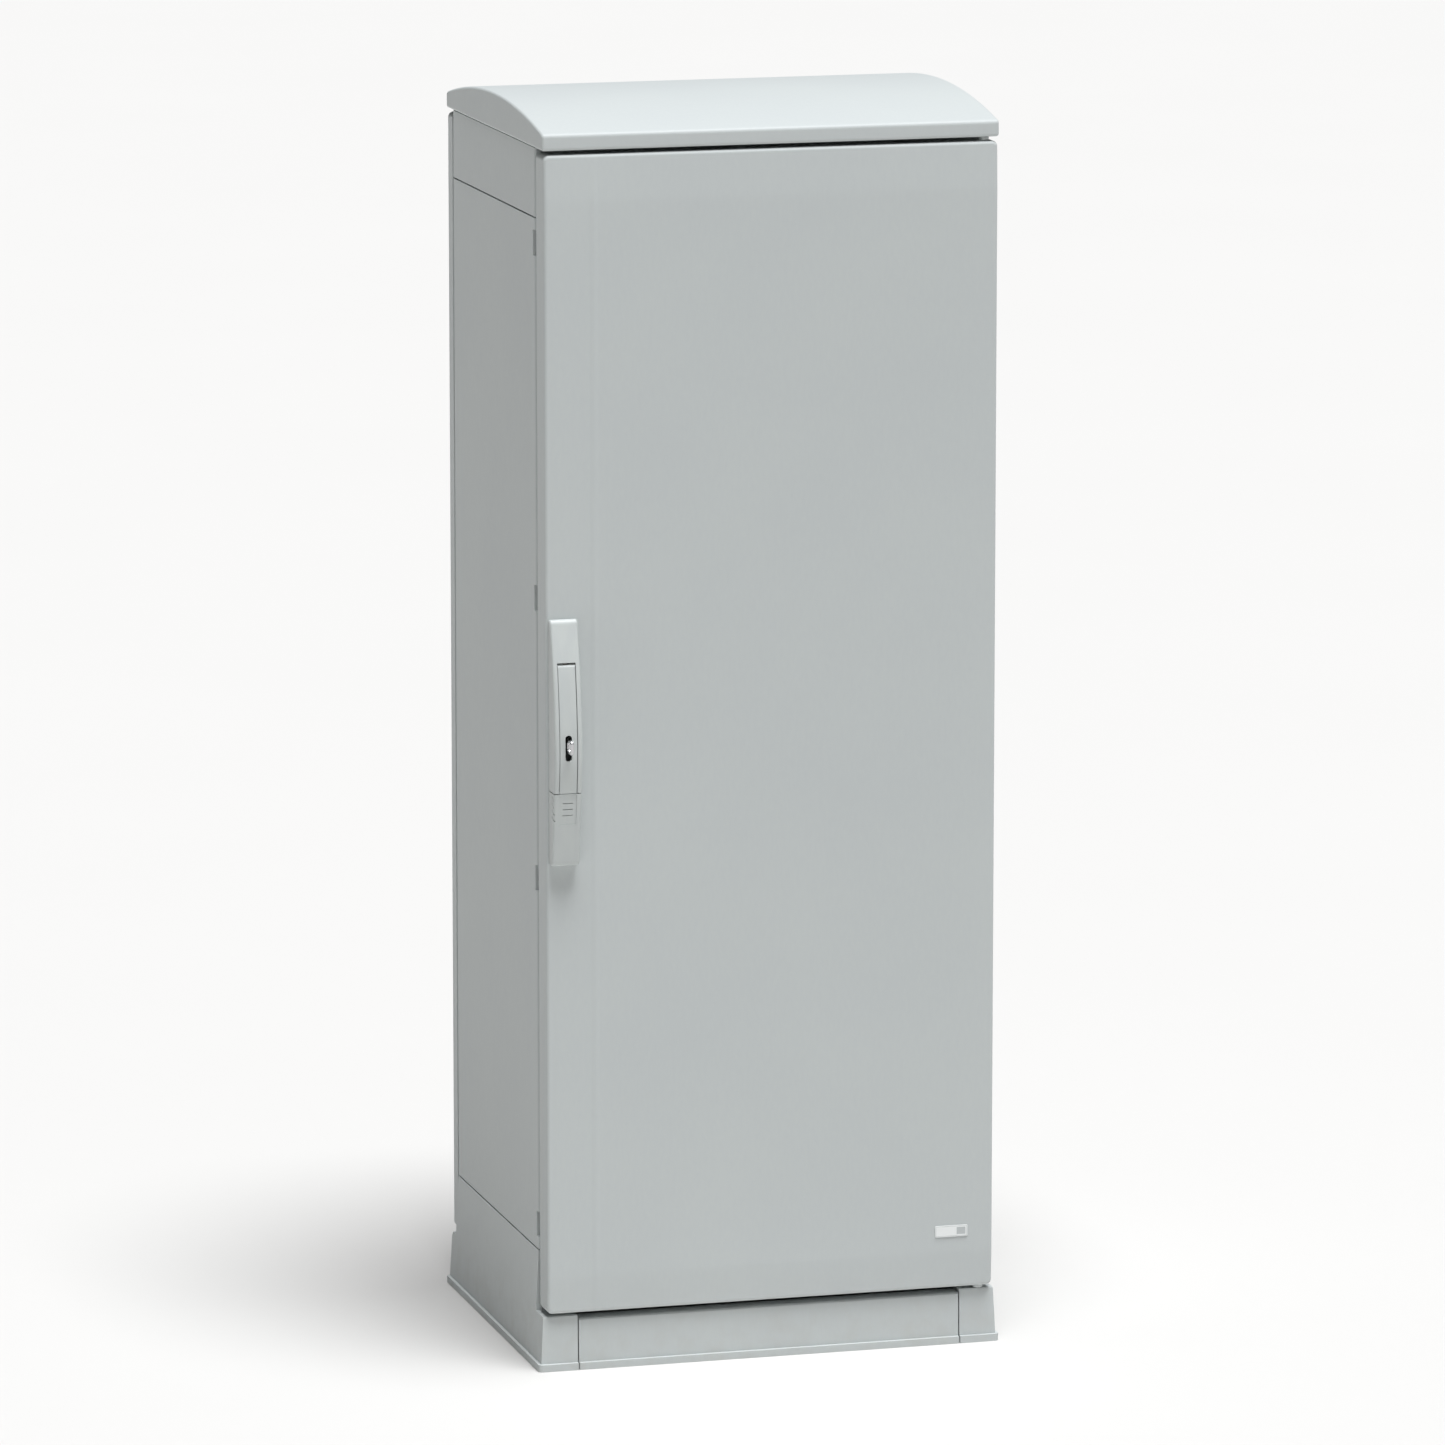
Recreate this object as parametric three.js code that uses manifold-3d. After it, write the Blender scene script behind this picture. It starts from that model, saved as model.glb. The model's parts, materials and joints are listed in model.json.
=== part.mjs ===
// A floor-standing outdoor service cabinet in moulded glass-reinforced polyester: one door with a bowed
// fold-out lever and a two-rod lock, side panels, a top frame under an arched rain canopy, a removable rear
// panel, and a plinth with lift-off covers. Inside are a mounting plate on two uprights, a gland plate and an
// earth stud.
//
// Millimetres. X runs across the door, Y from the door's front face to the back, and Z up from the floor. The
// last lines move the whole cabinet along Y, so that its origin is at the bottom centre of its overall box.
import * as THREE from "three";
import { mergeVertices } from "three/addons/utils/BufferGeometryUtils.js";
import Module from "manifold-3d";

const wasm = await Module();
wasm.setup();

// ---------------------------------------------------------------- driving dimensions

// Fits between pieces
const fit = 0.3; // between fixed neighbours
const running = 0.3; // between a pin and what turns on it
const slideFit = 0.5; // between a rod and what guides it
const seamGap = 1.2; // open seam between outer mouldings

// Body and door
const width = 500;
const wall = 4;
const doorHeight = 1254;
const doorBottom = 64;
const doorDepth = 34;
const doorGap = 6; // from the door's skirt to the body's front edge
const bodyDepth = 360;
const rearGap = 3;
const rearDepth = 22;
const lowerSeamRise = 63; // from the door's lower edge up to the lower side seam
const upperSeamDrop = 70; // from the door's upper edge down to the upper side seam
const edgeRadius = 5;

// Door border: the faces above and below slope back from the flat middle
const topBorder = 50;
const bottomBorder = 40;
const borderFall = 0.9;

// Sealing collar round the door opening, and its gasket
const collarInset = 56; // from the cabinet's side to the collar's outer face
const collarTopDrop = 40;
const collarBottomRise = 40;
const gasketWidth = 12;
const gasketHeight = 7;
const gasketSqueeze = 0.5;

// Canopy
const canopyGap = 4.5;
const canopyLip = 17.5;
const canopyRise = 22.2;
const canopySide = 1.5; // overhang past each side
const canopyEndInset = 1.5; // from the door's front face, and from the rear panel's back
const columnSide = 50; // from the cabinet's side to a screw column
const columnEnd = 60; // from the body's front and back to a screw column

// Plinth
const plinthDraft = 6; // each side wall leans out by this much from the lower seam to the flange
const plinthFront = 7.7; // front wall's upper edge, behind the door's front face
const plinthFrontDraft = 1.5;
const flangeHeight = 8;
const flangeProud = 3.4;
const plinthCorner = 35; // from the cabinet's side to the seam with the cover
const plinthClearance = 4.3; // under the door
const coverDrop = 3.7; // the covers stop below the corners by this much
const footBolt = 7; // radius of the floor bolts' holes

// Hinges and lock points share their heights, so that the door can be hung on either side
const lockPitchInner = 152; // from the middle of the side panel
const lockEndOuter = 27.5; // from the side panel's end to the outer lock points
const pocketHeight = 28;
const pocketDepth = 8;
const pocketWidth = 46; // from the cabinet's side inwards
const hingeInset = 13; // from the cabinet's side to the hinge axis
const hingeSetback = 13; // from the door's front face to the hinge axis
const hingeRodRadius = 3;
const knuckleRadius = 6;
const knuckleHeight = 20;
const armThickness = 4;
const armReach = 26.5; // from the axis to the arm's neck

// Handle: a bowed housing whose middle tongue and lower grip fold out together
const handleInset = wall + 14; // from the cabinet's side to the handle's centre line
const handleWidth = 30.6;
const handleHalf = 132.5;
const crownSeam = 24.5; // how far the bow stands proud at the seam above the grip
const crownMiddle = 28;
const crownUpper = 21;
const crownUpperAt = 71;
const gripSeam = -52; // heights in the handle are from its middle
const tongueWidth = 19;
const tongueTop = 86;
const tongueTopGap = 2.5;
const tongueSideGap = 0.6;
const tongueRound = 4; // the tongue's upper end rolls inside the recess as it folds out
const tongueShell = 4;
const tongueSunk = 0.4; // below the bow of the housing
const tongueEdge = 0.6; // rounding along the tongue's sides
const handleRound = 2.5;
const basePlate = 2;
const pivotHeight = 77;
const pivotProud = 10; // the lever's pivot in front of the door's face
const pivotPinRadius = 2.5;
const slotWidth = 7.3;
const slotBottom = -16.6;
const slotTop = 11.5;

// Padlock staple
const stapleProud = 42.5;
const stapleHeight = 13;
const stapleThickness = 3;
const stapleEye = [10, 7]; // depth and height of the hole
const stapleRim = 3;

// Lock drive: a sector on the lever moves the upper rod, and a pinion behind it moves the lower rod the other
// way
const gearModule = 1.25;
const sectorTeeth = 30; // of the full wheel
const pinionTeeth = 10;
const pressureAngle = THREE.MathUtils.degToRad(25);
const addendum = 0.85 * gearModule;
const dedendum = 1.1 * gearModule;
const toothShare = 0.46; // of the pitch, the rest is the gap with its backlash
const gearWidth = 6;
const sectorHub = 6; // radius
const leverTravel = Math.PI / 2;
const pinionHeight = 31;
const pinionAxleRadius = 2.5;
const rodWidth = 12;
const rodThickness = 6;
const rodEnd = 42; // a rod runs on past its outer stud by this much
const studRadius = 4;
const studReach = 12;

// Inside
const rearRim = 30; // from the cabinet's side to the rear opening
const rimTurn = 16; // depth of the rear rim's inward turn
const glandSide = 70; // from the cabinet's side to the cable opening
const glandEnd = 60; // from the body's front and back to the cable opening
const glandLap = 18; // of the gland plate on the frame
const plateThickness = 2.5;
const plateSetback = 43; // from the mounting plate's back to the body's back
const plateEnd = 20; // from the plate's ends to the side panels' seams
const plateSide = 28; // from the plate's edges to the cabinet's sides
const sheet = 2;
const uprightDepth = 28;
const boltRadius = 4;

// ---------------------------------------------------------------- places worked out from them

const half = width / 2;
const doorTop = doorBottom + doorHeight;
const bodyFront = doorDepth + doorGap;
const bodyBack = bodyFront + bodyDepth;
const rearFace = bodyBack + rearGap + rearDepth;
const middleDepth = rearFace / 2;
const lowerSeam = doorBottom + lowerSeamRise;
const upperSeam = doorTop - upperSeamDrop;
const panelMiddle = (lowerSeam + upperSeam) / 2;
const lockPitchOuter = (upperSeam - lowerSeam) / 2 - lockEndOuter;
const lockPitches = [lockPitchOuter, lockPitchInner, -lockPitchInner, -lockPitchOuter];
const lockHeights = lockPitches.map((pitch) => panelMiddle + pitch);
const collarOut = half - collarInset;
const collarIn = collarOut - wall;
const collarTop = doorTop - collarTopDrop;
const collarBottom = doorBottom + collarBottomRise;
const gasketFront = wall + fit;
const collarFront = gasketFront + gasketHeight + gasketSqueeze;
const ledgeTop = doorBottom - plinthClearance;
const pocketInner = half - pocketWidth;
const hingeX = half - hingeInset;
const handleX = handleInset - half;
const handleZ = (doorBottom + doorTop) / 2;
const leverZ = handleZ + pivotHeight;

const gearPitch = Math.PI * gearModule;
const sectorRadius = (sectorTeeth * gearModule) / 2;
const pinionRadius = (pinionTeeth * gearModule) / 2;
const rodTravel = sectorRadius * leverTravel;
const upperRodFront = sectorRadius - pivotProud - addendum;
const upperRodBack = upperRodFront + rodThickness;
const pinionY = upperRodBack - addendum + pinionRadius;
const lowerRodFront = pinionY + pinionRadius - addendum;
const lowerRodBack = lowerRodFront + rodThickness;
const studY = (upperRodFront + upperRodBack) / 2;

// ---------------------------------------------------------------- finishes

const finish = (color, roughness, metalness = 0) =>
  new THREE.MeshStandardMaterial({ color, roughness, metalness });
const polyester = finish(0xb8bebf, 0.48);
const polyesterInner = finish(0xb2b8b9, 0.6);
const handleGrey = finish(0xbcc2c3, 0.42);
const zincSteel = finish(0xa9adb0, 0.38, 0.85);
const galvanised = finish(0xb4b8ba, 0.45, 0.8);
const chrome = finish(0xd6d8da, 0.12, 1);
const rubber = finish(0x2b2d2e, 0.85);
const labelWhite = finish(0xeef0ef, 0.4);
const brass = finish(0xb99b55, 0.35, 0.9);

// ---------------------------------------------------------------- shapes and solids

/** A closed solid from a three.js geometry. */
function solid(geometry) {
  geometry.deleteAttribute("normal");
  geometry.deleteAttribute("uv");
  const merged = mergeVertices(geometry, 1e-4);
  const vertProperties = merged.attributes.position.array;
  const triVerts = new Uint32Array(merged.index.array);
  return new wasm.Manifold(new wasm.Mesh({ numProp: 3, vertProperties, triVerts }));
}

const join = (...bodies) => bodies.reduce((a, b) => a.add(b));
const cut = (body, ...tools) => tools.reduce((a, b) => a.subtract(b), body);

/** A block between two corners. */
function block([x0, y0, z0], [x1, y1, z1]) {
  const size = [Math.abs(x1 - x0), Math.abs(y1 - y0), Math.abs(z1 - z0)];
  const box = new THREE.BoxGeometry(...size);
  return solid(box.translate((x0 + x1) / 2, (y0 + y1) / 2, (z0 + z1) / 2));
}

/** A shape from a list of corners. */
const outline = (points) => new THREE.Shape(points.map(([a, b]) => new THREE.Vector2(a, b)));

/** A rectangle with round corners. */
function roundedRectangle(a0, b0, a1, b1, radius) {
  const shape = new THREE.Shape();
  shape.absarc(a1 - radius, b0 + radius, radius, -Math.PI / 2, 0);
  shape.absarc(a1 - radius, b1 - radius, radius, 0, Math.PI / 2);
  shape.absarc(a0 + radius, b1 - radius, radius, Math.PI / 2, Math.PI);
  shape.absarc(a0 + radius, b0 + radius, radius, Math.PI, 1.5 * Math.PI);
  return shape;
}

/** A regular polygon close to a circle. */
function round(a, b, radius, sides = 16) {
  const corner = (i) => {
    const angle = (2 * Math.PI * i) / sides;
    return [a + radius * Math.cos(angle), b + radius * Math.sin(angle)];
  };
  return outline(Array.from({ length: sides }, (_, i) => corner(i)));
}

// The plane of a shape for each axis that it is extruded along: X takes (y, z), Y takes (x, z), and Z (x, y).
const planes = {
  x: [new THREE.Vector3(0, 1, 0), new THREE.Vector3(0, 0, 1), new THREE.Vector3(1, 0, 0)],
  y: [new THREE.Vector3(1, 0, 0), new THREE.Vector3(0, 0, 1), new THREE.Vector3(0, -1, 0)],
  z: [new THREE.Vector3(1, 0, 0), new THREE.Vector3(0, 1, 0), new THREE.Vector3(0, 0, 1)],
};

/** A shape extruded along an axis from one place to another, with its end edges rounded if asked. */
function prism(axis, shape, from, to, edge = 0, curveSegments = 4) {
  const geometry = new THREE.ExtrudeGeometry(shape, {
    depth: to - from - 2 * edge,
    curveSegments,
    bevelEnabled: edge > 0,
    bevelThickness: edge,
    bevelSize: edge,
    bevelOffset: -edge,
    bevelSegments: 3,
  });
  const start = { x: [from + edge, 0, 0], y: [0, to - edge, 0], z: [0, 0, from + edge] }[axis];
  const placed = new THREE.Matrix4().makeBasis(...planes[axis]).setPosition(...start);
  return solid(geometry.applyMatrix4(placed));
}

/** The same solid on the other side of the cabinet. */
function mirrored(body) {
  const data = body.getMesh();
  const geometry = new THREE.BufferGeometry();
  const points = Float32Array.from(data.vertProperties, (v, i) => (i % 3 === 0 ? -v : v));
  const flipped = data.triVerts.map((_, i, all) => all[i - (i % 3) + 2 - (i % 3)]);
  geometry.setAttribute("position", new THREE.BufferAttribute(points, 3));
  geometry.setIndex(new THREE.BufferAttribute(flipped, 1));
  return solid(geometry);
}

/** One named piece of the cabinet. */
function piece(name, body, material, position = [0, 0, 0]) {
  const data = body.getMesh();
  const geometry = new THREE.BufferGeometry();
  geometry.setAttribute("position", new THREE.BufferAttribute(data.vertProperties, 3));
  geometry.setIndex(new THREE.BufferAttribute(data.triVerts, 1));
  geometry.computeVertexNormals();
  const mesh = new THREE.Mesh(geometry, material);
  mesh.name = name;
  mesh.position.set(...position);
  return mesh;
}

function group(position, ...children) {
  const made = new THREE.Group();
  made.position.set(...position);
  made.add(...children);
  return made;
}

// ---------------------------------------------------------------- body

/** The sealing collar round the door opening, with the front rim behind it, over the whole opening. */
function collarRing() {
  const outside = roundedRectangle(-collarOut, collarBottom, collarOut, collarTop, 8);
  return cut(prism("y", outside, collarFront, bodyFront + wall), doorway());
}

/** The space inside the collar, which no rim may close. */
function doorway() {
  const inside = roundedRectangle(-collarIn, collarBottom + wall, collarIn, collarTop - wall, 5);
  return prism("y", inside, collarFront - 1, bodyFront + wall + 1);
}

/** A slab of height between two levels, to share one ring out between the mouldings that carry it. */
const level = (z0, z1) => block([-width, -10, z0], [width, rearFace + 10, z1]);

/** The left side panel: rims, the collar's upright, and four pockets for hinge arms or keepers. */
function sidePanel() {
  const z0 = lowerSeam + seamGap / 2;
  const z1 = upperSeam - seamGap / 2;
  const rim = half - rearRim;
  const corner = 3;
  const section = new THREE.Shape();
  section.moveTo(-collarIn, collarFront);
  section.lineTo(-collarOut, collarFront);
  section.lineTo(-collarOut, bodyFront);
  section.lineTo(-half + corner, bodyFront);
  section.quadraticCurveTo(-half, bodyFront, -half, bodyFront + corner);
  section.lineTo(-half, bodyBack - corner);
  section.quadraticCurveTo(-half, bodyBack, -half + corner, bodyBack);
  section.lineTo(-rim, bodyBack);
  section.lineTo(-rim, bodyBack - rimTurn);
  section.lineTo(-rim - 3, bodyBack - rimTurn);
  section.lineTo(-rim - 3, bodyBack - wall);
  section.lineTo(-half + wall, bodyBack - wall);
  section.lineTo(-half + wall, bodyFront + wall);
  section.lineTo(-collarIn, bodyFront + wall);
  const padDepth = bodyFront + pocketDepth + wall;
  const rise = pocketHeight / 2;
  const pads = lockHeights.map((z) =>
    block([-half + 1, bodyFront + 2, z - rise - wall], [-pocketInner + wall, padDepth, z + rise + wall]),
  );
  const pockets = lockHeights.map((z) =>
    block([-half - 1, bodyFront - 1, z - rise], [-pocketInner, bodyFront + pocketDepth, z + rise]),
  );
  return cut(join(prism("z", section, z0, z1), ...pads), ...pockets);
}

/** The top frame: a shallow inverted tray that ties the side panels together and carries the canopy. */
function topFrame() {
  const z0 = upperSeam + seamGap / 2;
  const z1 = doorTop + canopyGap - fit;
  const outer = prism("z", roundedRectangle(-half, bodyFront, half, bodyBack, 3), z0, z1);
  const room = block([-half + wall, bodyFront + wall, z0 - 1], [half - wall, bodyBack - wall, z1 - wall]);
  const rearWay = rearOpening(z0 - 1, z1 - rearRim);
  const collar = collarRing().intersect(level(z0, doorTop));
  return join(cut(outer, room, rearWay, doorway()), collar);
}

/** The way through the frame's rear wall, between two levels. */
function rearOpening(z0, z1) {
  const side = half - rearRim;
  return block([-side, bodyBack - wall - 1, z0], [side, bodyBack + 1, z1]);
}

/** The base frame: a pan inside the plinth's upper edge, with the opening for cables. */
function baseFrame() {
  const z0 = ledgeTop + fit;
  const z1 = lowerSeam - seamGap / 2;
  const side = half - wall - fit;
  const outer = block([-side, bodyFront, z0], [side, bodyBack, z1]);
  const room = (low, high) =>
    block([-side + wall, bodyFront + wall, low], [side - wall, bodyBack - wall, high]);
  const above = room(collarBottom, z1 + 1);
  const below = room(z0 - 1, collarBottom - wall);
  const rearWay = rearOpening(collarBottom, z1 + 1);
  const cables = prism("z", glandShape(0), collarBottom - wall - 1, collarBottom + 1);
  const collar = collarRing().intersect(level(collarBottom, z1));
  return join(cut(outer, above, below, rearWay, cables, doorway()), collar);
}

function glandShape(lap) {
  const x = half - glandSide + lap;
  return roundedRectangle(-x, bodyFront + glandEnd - lap, x, bodyBack - glandEnd + lap, 10);
}

/** The plate that closes the cable opening. */
function glandPlate() {
  return prism("z", glandShape(glandLap), collarBottom + fit, collarBottom + fit + sheet);
}

/** The arched rain canopy, with four screw columns down to the top frame. */
function canopy() {
  const bottom = doorTop + canopyGap;
  const front = canopyEndInset;
  const back = rearFace - canopyEndInset;
  const side = half + canopySide;
  const arched = (inset) => {
    const y0 = front + inset;
    const y1 = back - inset;
    const top = bottom + canopyLip - inset;
    const turn = 4;
    const radius = ((back - front) ** 2 / 4 + canopyRise ** 2) / (2 * canopyRise) - inset;
    const centre = bottom + canopyLip + canopyRise - inset - radius;
    const reach = Math.asin((y1 - turn - middleDepth) / radius);
    const shape = new THREE.Shape();
    shape.moveTo(y0, bottom - (inset ? 1 : 0));
    shape.lineTo(y0, top - turn);
    const shoulder = centre + radius * Math.cos(reach);
    shape.quadraticCurveTo(y0, top, middleDepth - radius * Math.sin(reach), shoulder);
    shape.absarc(middleDepth, centre, radius, Math.PI / 2 + reach, Math.PI / 2 - reach, true);
    shape.quadraticCurveTo(y1, top, y1, top - turn);
    shape.lineTo(y1, bottom - (inset ? 1 : 0));
    return shape;
  };
  const smooth = 12;
  const outer = prism("x", arched(0), -side, side, 3, smooth);
  const room = prism("x", arched(wall), -side + wall, side - wall, 0, smooth);
  const columns = [-1, 1].flatMap((sx) =>
    [-1, 1].map((sy) => {
      const shape = round(sx * (half - columnSide), middleDepth + sy * (bodyDepth / 2 - columnEnd), 7);
      return prism("z", shape, bottom, bottom + canopyLip + canopyRise / 2);
    }),
  );
  return join(cut(outer, room), ...columns);
}

/** The rear panel: a shallow tray like the door, with a rib that presses on its gasket. */
function rearPanel() {
  const front = bodyBack + rearGap;
  const face = roundedRectangle(-half, doorBottom, half, doorTop, 6);
  const outer = prism("y", face, front - edgeRadius, rearFace, 4);
  const trimmed = cut(outer, block([-width, front - 20, 0], [width, front, doorTop + 10]));
  const room = roundedRectangle(-half + wall, doorBottom + wall, half - wall, doorTop - wall, 3);
  const rib = cut(rearRing(4), prism("y", rearRingShape(-4), 0, rearFace + 1));
  return join(cut(trimmed, prism("y", room, front - 1, rearFace - wall)), rib);
}

const rearSealInset = 16; // from the rear opening's edge to the seal's inner edge
const rearRingShape = (grow) =>
  roundedRectangle(
    -half + rearSealInset - grow,
    doorBottom + rearSealInset - grow,
    half - rearSealInset + grow,
    doorTop - rearSealInset + grow,
    4,
  );
const rearRing = (grow) => prism("y", rearRingShape(grow - 4), bodyBack + rearGap + 1 + fit, rearFace - 1);

/** The seal between the rear panel's rib and the body. */
function rearGasket() {
  const ring = prism("y", rearRingShape(3), bodyBack + fit, bodyBack + rearGap + 1);
  return cut(ring, prism("y", rearRingShape(-7), bodyBack - 1, rearFace));
}

// ---------------------------------------------------------------- plinth

/** The left plinth side: wall, wrapped corners, ledges under the door and rear panel, and the foot flange. */
function plinthSide() {
  const top = lowerSeam - seamGap / 2;
  const low = ledgeTop - wall;
  const front = plinthFront;
  const back = rearFace - plinthFront;
  const lean = plinthFrontDraft;
  const chamfer = 5;
  const inner = -half + plinthCorner;
  const sideView = [
    [bodyFront, top],
    [bodyFront, ledgeTop],
    [front + 1, ledgeTop],
    [front, ledgeTop - 2],
    [front - lean, 0],
    [back + lean, 0],
    [back, ledgeTop - chamfer],
    [back - chamfer, ledgeTop],
    [bodyBack, ledgeTop],
    [bodyBack, top],
  ];
  const draftAt = (z) => (plinthDraft * (lowerSeam - z)) / (lowerSeam - flangeHeight);
  const frontView = (thick) => [
    [-half + thick, lowerSeam],
    [-half + thick - draftAt(0), 0],
    [-half + thick - draftAt(0), -1],
    [inner + (thick ? 1 : 0), -1],
    [inner + (thick ? 1 : 0), lowerSeam],
  ];
  const outer = prism("x", outline(sideView), -width, inner).intersect(
    prism("y", outline(frontView(0)), -10, rearFace + 10),
  );
  const under = block([-width, front + wall, -2], [width, back - wall, low]).intersect(
    prism("y", outline(frontView(wall)), -10, rearFace + 10),
  );
  const above = block([-half + wall, bodyFront, low - 1], [width, bodyBack, top + 1]);
  const foot = footFlange(inner);
  return join(cut(outer, under, above), foot);
}

/** The flange that stands on the floor, with its bolt holes. */
function footFlange(inner) {
  const lean = plinthFront - plinthFrontDraft - flangeProud;
  const side = half + plinthDraft + flangeProud;
  const whole = prism("z", roundedRectangle(-side, lean, side, rearFace - lean, 5), 0, flangeHeight);
  const strip = whole.intersect(block([-width, -10, -1], [inner, rearFace + 10, flangeHeight + 1]));
  const boltX = -half + plinthCorner / 2;
  const holes = [bodyFront + 30, bodyBack - 30].map((y) =>
    prism("z", round(boltX, y, footBolt), -1, flangeHeight + 1),
  );
  return cut(strip, ...holes);
}

/** A lift-off plinth cover: a channel with its own stretch of flange. */
function plinthCover() {
  const top = ledgeTop - coverDrop;
  const toe = plinthFront - plinthFrontDraft;
  const depth = 20;
  const section = [
    [toe - flangeProud, 0],
    [toe - flangeProud, flangeHeight],
    [toe + 0.2, flangeHeight],
    [plinthFront, top - 1.5],
    [plinthFront + 1.5, top],
    [plinthFront + depth, top],
    [plinthFront + depth, top - 3],
    [plinthFront + 3, top - 3],
    [toe + 3, 3],
    [toe + depth, 3],
    [toe + depth, 0],
  ];
  const end = half - plinthCorner - seamGap;
  return prism("x", outline(section), -end, end);
}

/** A piece of the front turned round to the back. */
function turnedToBack(name, body, material) {
  const mesh = piece(name, body, material, [0, rearFace, 0]);
  mesh.rotation.z = Math.PI;
  return mesh;
}

// ---------------------------------------------------------------- inside the cabinet

const uprightFront = bodyBack - plateSetback + fit;

/** The left upright: a perforated angle that the mounting plate is bolted to. */
function upright() {
  const z0 = lowerSeam + plateEnd - 10;
  const z1 = upperSeam - plateEnd + 10;
  const side = -half + wall + fit;
  const inner = -half + plateSide + 16;
  const angle = [
    [side, uprightFront],
    [inner, uprightFront],
    [inner, uprightFront + sheet],
    [side + sheet, uprightFront + sheet],
    [side + sheet, uprightFront + uprightDepth],
    [side, uprightFront + uprightDepth],
  ];
  const step = 50;
  const count = Math.floor((z1 - z0 - 60) / step);
  const slotX = (side + sheet - half + plateSide) / 2;
  const slots = Array.from({ length: count + 1 }, (_, i) => {
    const z = (z0 + z1) / 2 + (i - count / 2) * step;
    return block([slotX - 3, uprightFront - 1, z - 9], [slotX + 3, uprightFront + sheet + 1, z + 9]);
  });
  return cut(prism("z", outline(angle), z0, z1), ...slots, ...plateBoltHoles());
}

const plateBolts = [-1, 1].flatMap((side) =>
  [lowerSeam + plateEnd + 22, upperSeam - plateEnd - 22].map((z) => [side * (half - plateSide - 9), z]),
);

function plateBoltHoles() {
  const hole = (x, z) => prism("y", round(x, z, boltRadius, 12), uprightFront - 5, uprightFront + 5);
  return plateBolts.map(([x, z]) => hole(x, z));
}

/** The steel plate that equipment is mounted on. */
function mountingPlate() {
  const side = half - plateSide;
  const shape = roundedRectangle(-side, lowerSeam + plateEnd, side, upperSeam - plateEnd, 8);
  const plate = prism("y", shape, uprightFront - fit - plateThickness, uprightFront - fit);
  return cut(plate, ...plateBoltHoles());
}

/** A flush press-in stud and its nut behind the upright, drawn from the mounting plate's face. */
function plateStud() {
  const nutSeat = plateThickness + fit + sheet + fit;
  const nut = prism("y", round(0, 0, 7.5, 6), nutSeat, nutSeat + 6.5);
  return join(nut, prism("y", round(0, 0, boltRadius - fit, 12), fit, nutSeat + 9));
}

/** The earth stud on the base frame: a threaded stud with a nut and a washer. */
function earthStud() {
  const washer = prism("z", round(0, 0, 10), 0, 2);
  const nut = prism("z", round(0, 0, 7.5, 6), 1.5, 8.5);
  return join(washer, nut, prism("z", round(0, 0, 4, 12), 8, 26));
}

// ---------------------------------------------------------------- lock points and hinges on the body

const footDepth = pocketDepth - 2 * fit;
const footHeight = pocketHeight - 2 * fit;

/** A die-cast foot that fills one pocket of a side panel, drawn from the pocket's middle height. */
function pocketFoot() {
  const y0 = bodyFront + fit;
  return block([pocketInner + fit, y0, -footHeight / 2], [half - wall - 1, y0 + footDepth, footHeight / 2]);
}

/** The keeper behind one locking stud. */
function keeper() {
  const stud = -handleX - rodWidth / 2 - fit;
  const tongueFront = studY + studRadius + 1;
  const lug = block([stud - 6, tongueFront, -footHeight / 2], [stud - 2, bodyFront + 2, footHeight / 2]);
  return mirrored(join(pocketFoot(), lug));
}

/** The hinge arm: a goose-neck that the door's skirt swings round. */
function hingeArm() {
  const front = wall + 0.8;
  const neck = hingeX - armReach;
  const root = pocketInner + fit;
  const z = knuckleHeight / 2;
  const bend = [
    [root, bodyFront + 2],
    [root, front + 3],
    [root + 3, front],
    [hingeX, front],
    [hingeX, front + armThickness],
    [neck, front + armThickness],
    [neck, bodyFront + 2],
  ];
  const knuckle = prism("z", round(hingeX, hingeSetback, knuckleRadius), -z, z);
  const arm = join(prism("z", outline(bend), -z, z), knuckle, pocketFoot());
  return cut(arm, rodWay(-z - 1, z + 1));
}

/** The running hole for the hinge rod. */
function rodWay(z0, z1) {
  return prism("z", round(hingeX, hingeSetback, hingeRodRadius + running), z0, z1);
}

/** The hinge leaf on the door's skirt: two ears above and below an arm's knuckle. */
function hingeLeaf() {
  const inner = hingeX + knuckleRadius + 0.7;
  const outer = half - wall - fit;
  const ear = 11;
  const z0 = knuckleHeight / 2 + 0.8;
  const z1 = z0 + ear;
  const plate = block([inner, wall + 1, -z1], [outer, doorDepth - 5, z1]);
  const ears = [z0, -z1].map((z) =>
    join(
      prism("z", round(hingeX, hingeSetback, knuckleRadius), z, z + ear),
      block([hingeX, hingeSetback - knuckleRadius, z], [outer, hingeSetback + knuckleRadius, z + ear]),
    ),
  );
  return cut(join(plate, ...ears), rodWay(-z1 - 1, z1 + 1));
}

const rodProud = 1; // the hinge rod past each end of the door
const hingeRod = () => prism("z", round(0, 0, hingeRodRadius), doorBottom - rodProud, doorTop + rodProud);

/** The cap on one end of the hinge rod, in a gap past the door. It is drawn upwards from its open end. */
function hingeCap(gap) {
  const cap = prism("z", round(0, 0, knuckleRadius), 0, gap - 1);
  return cut(cap, prism("z", round(0, 0, hingeRodRadius + running), -1, rodProud));
}

// ---------------------------------------------------------------- door

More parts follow.
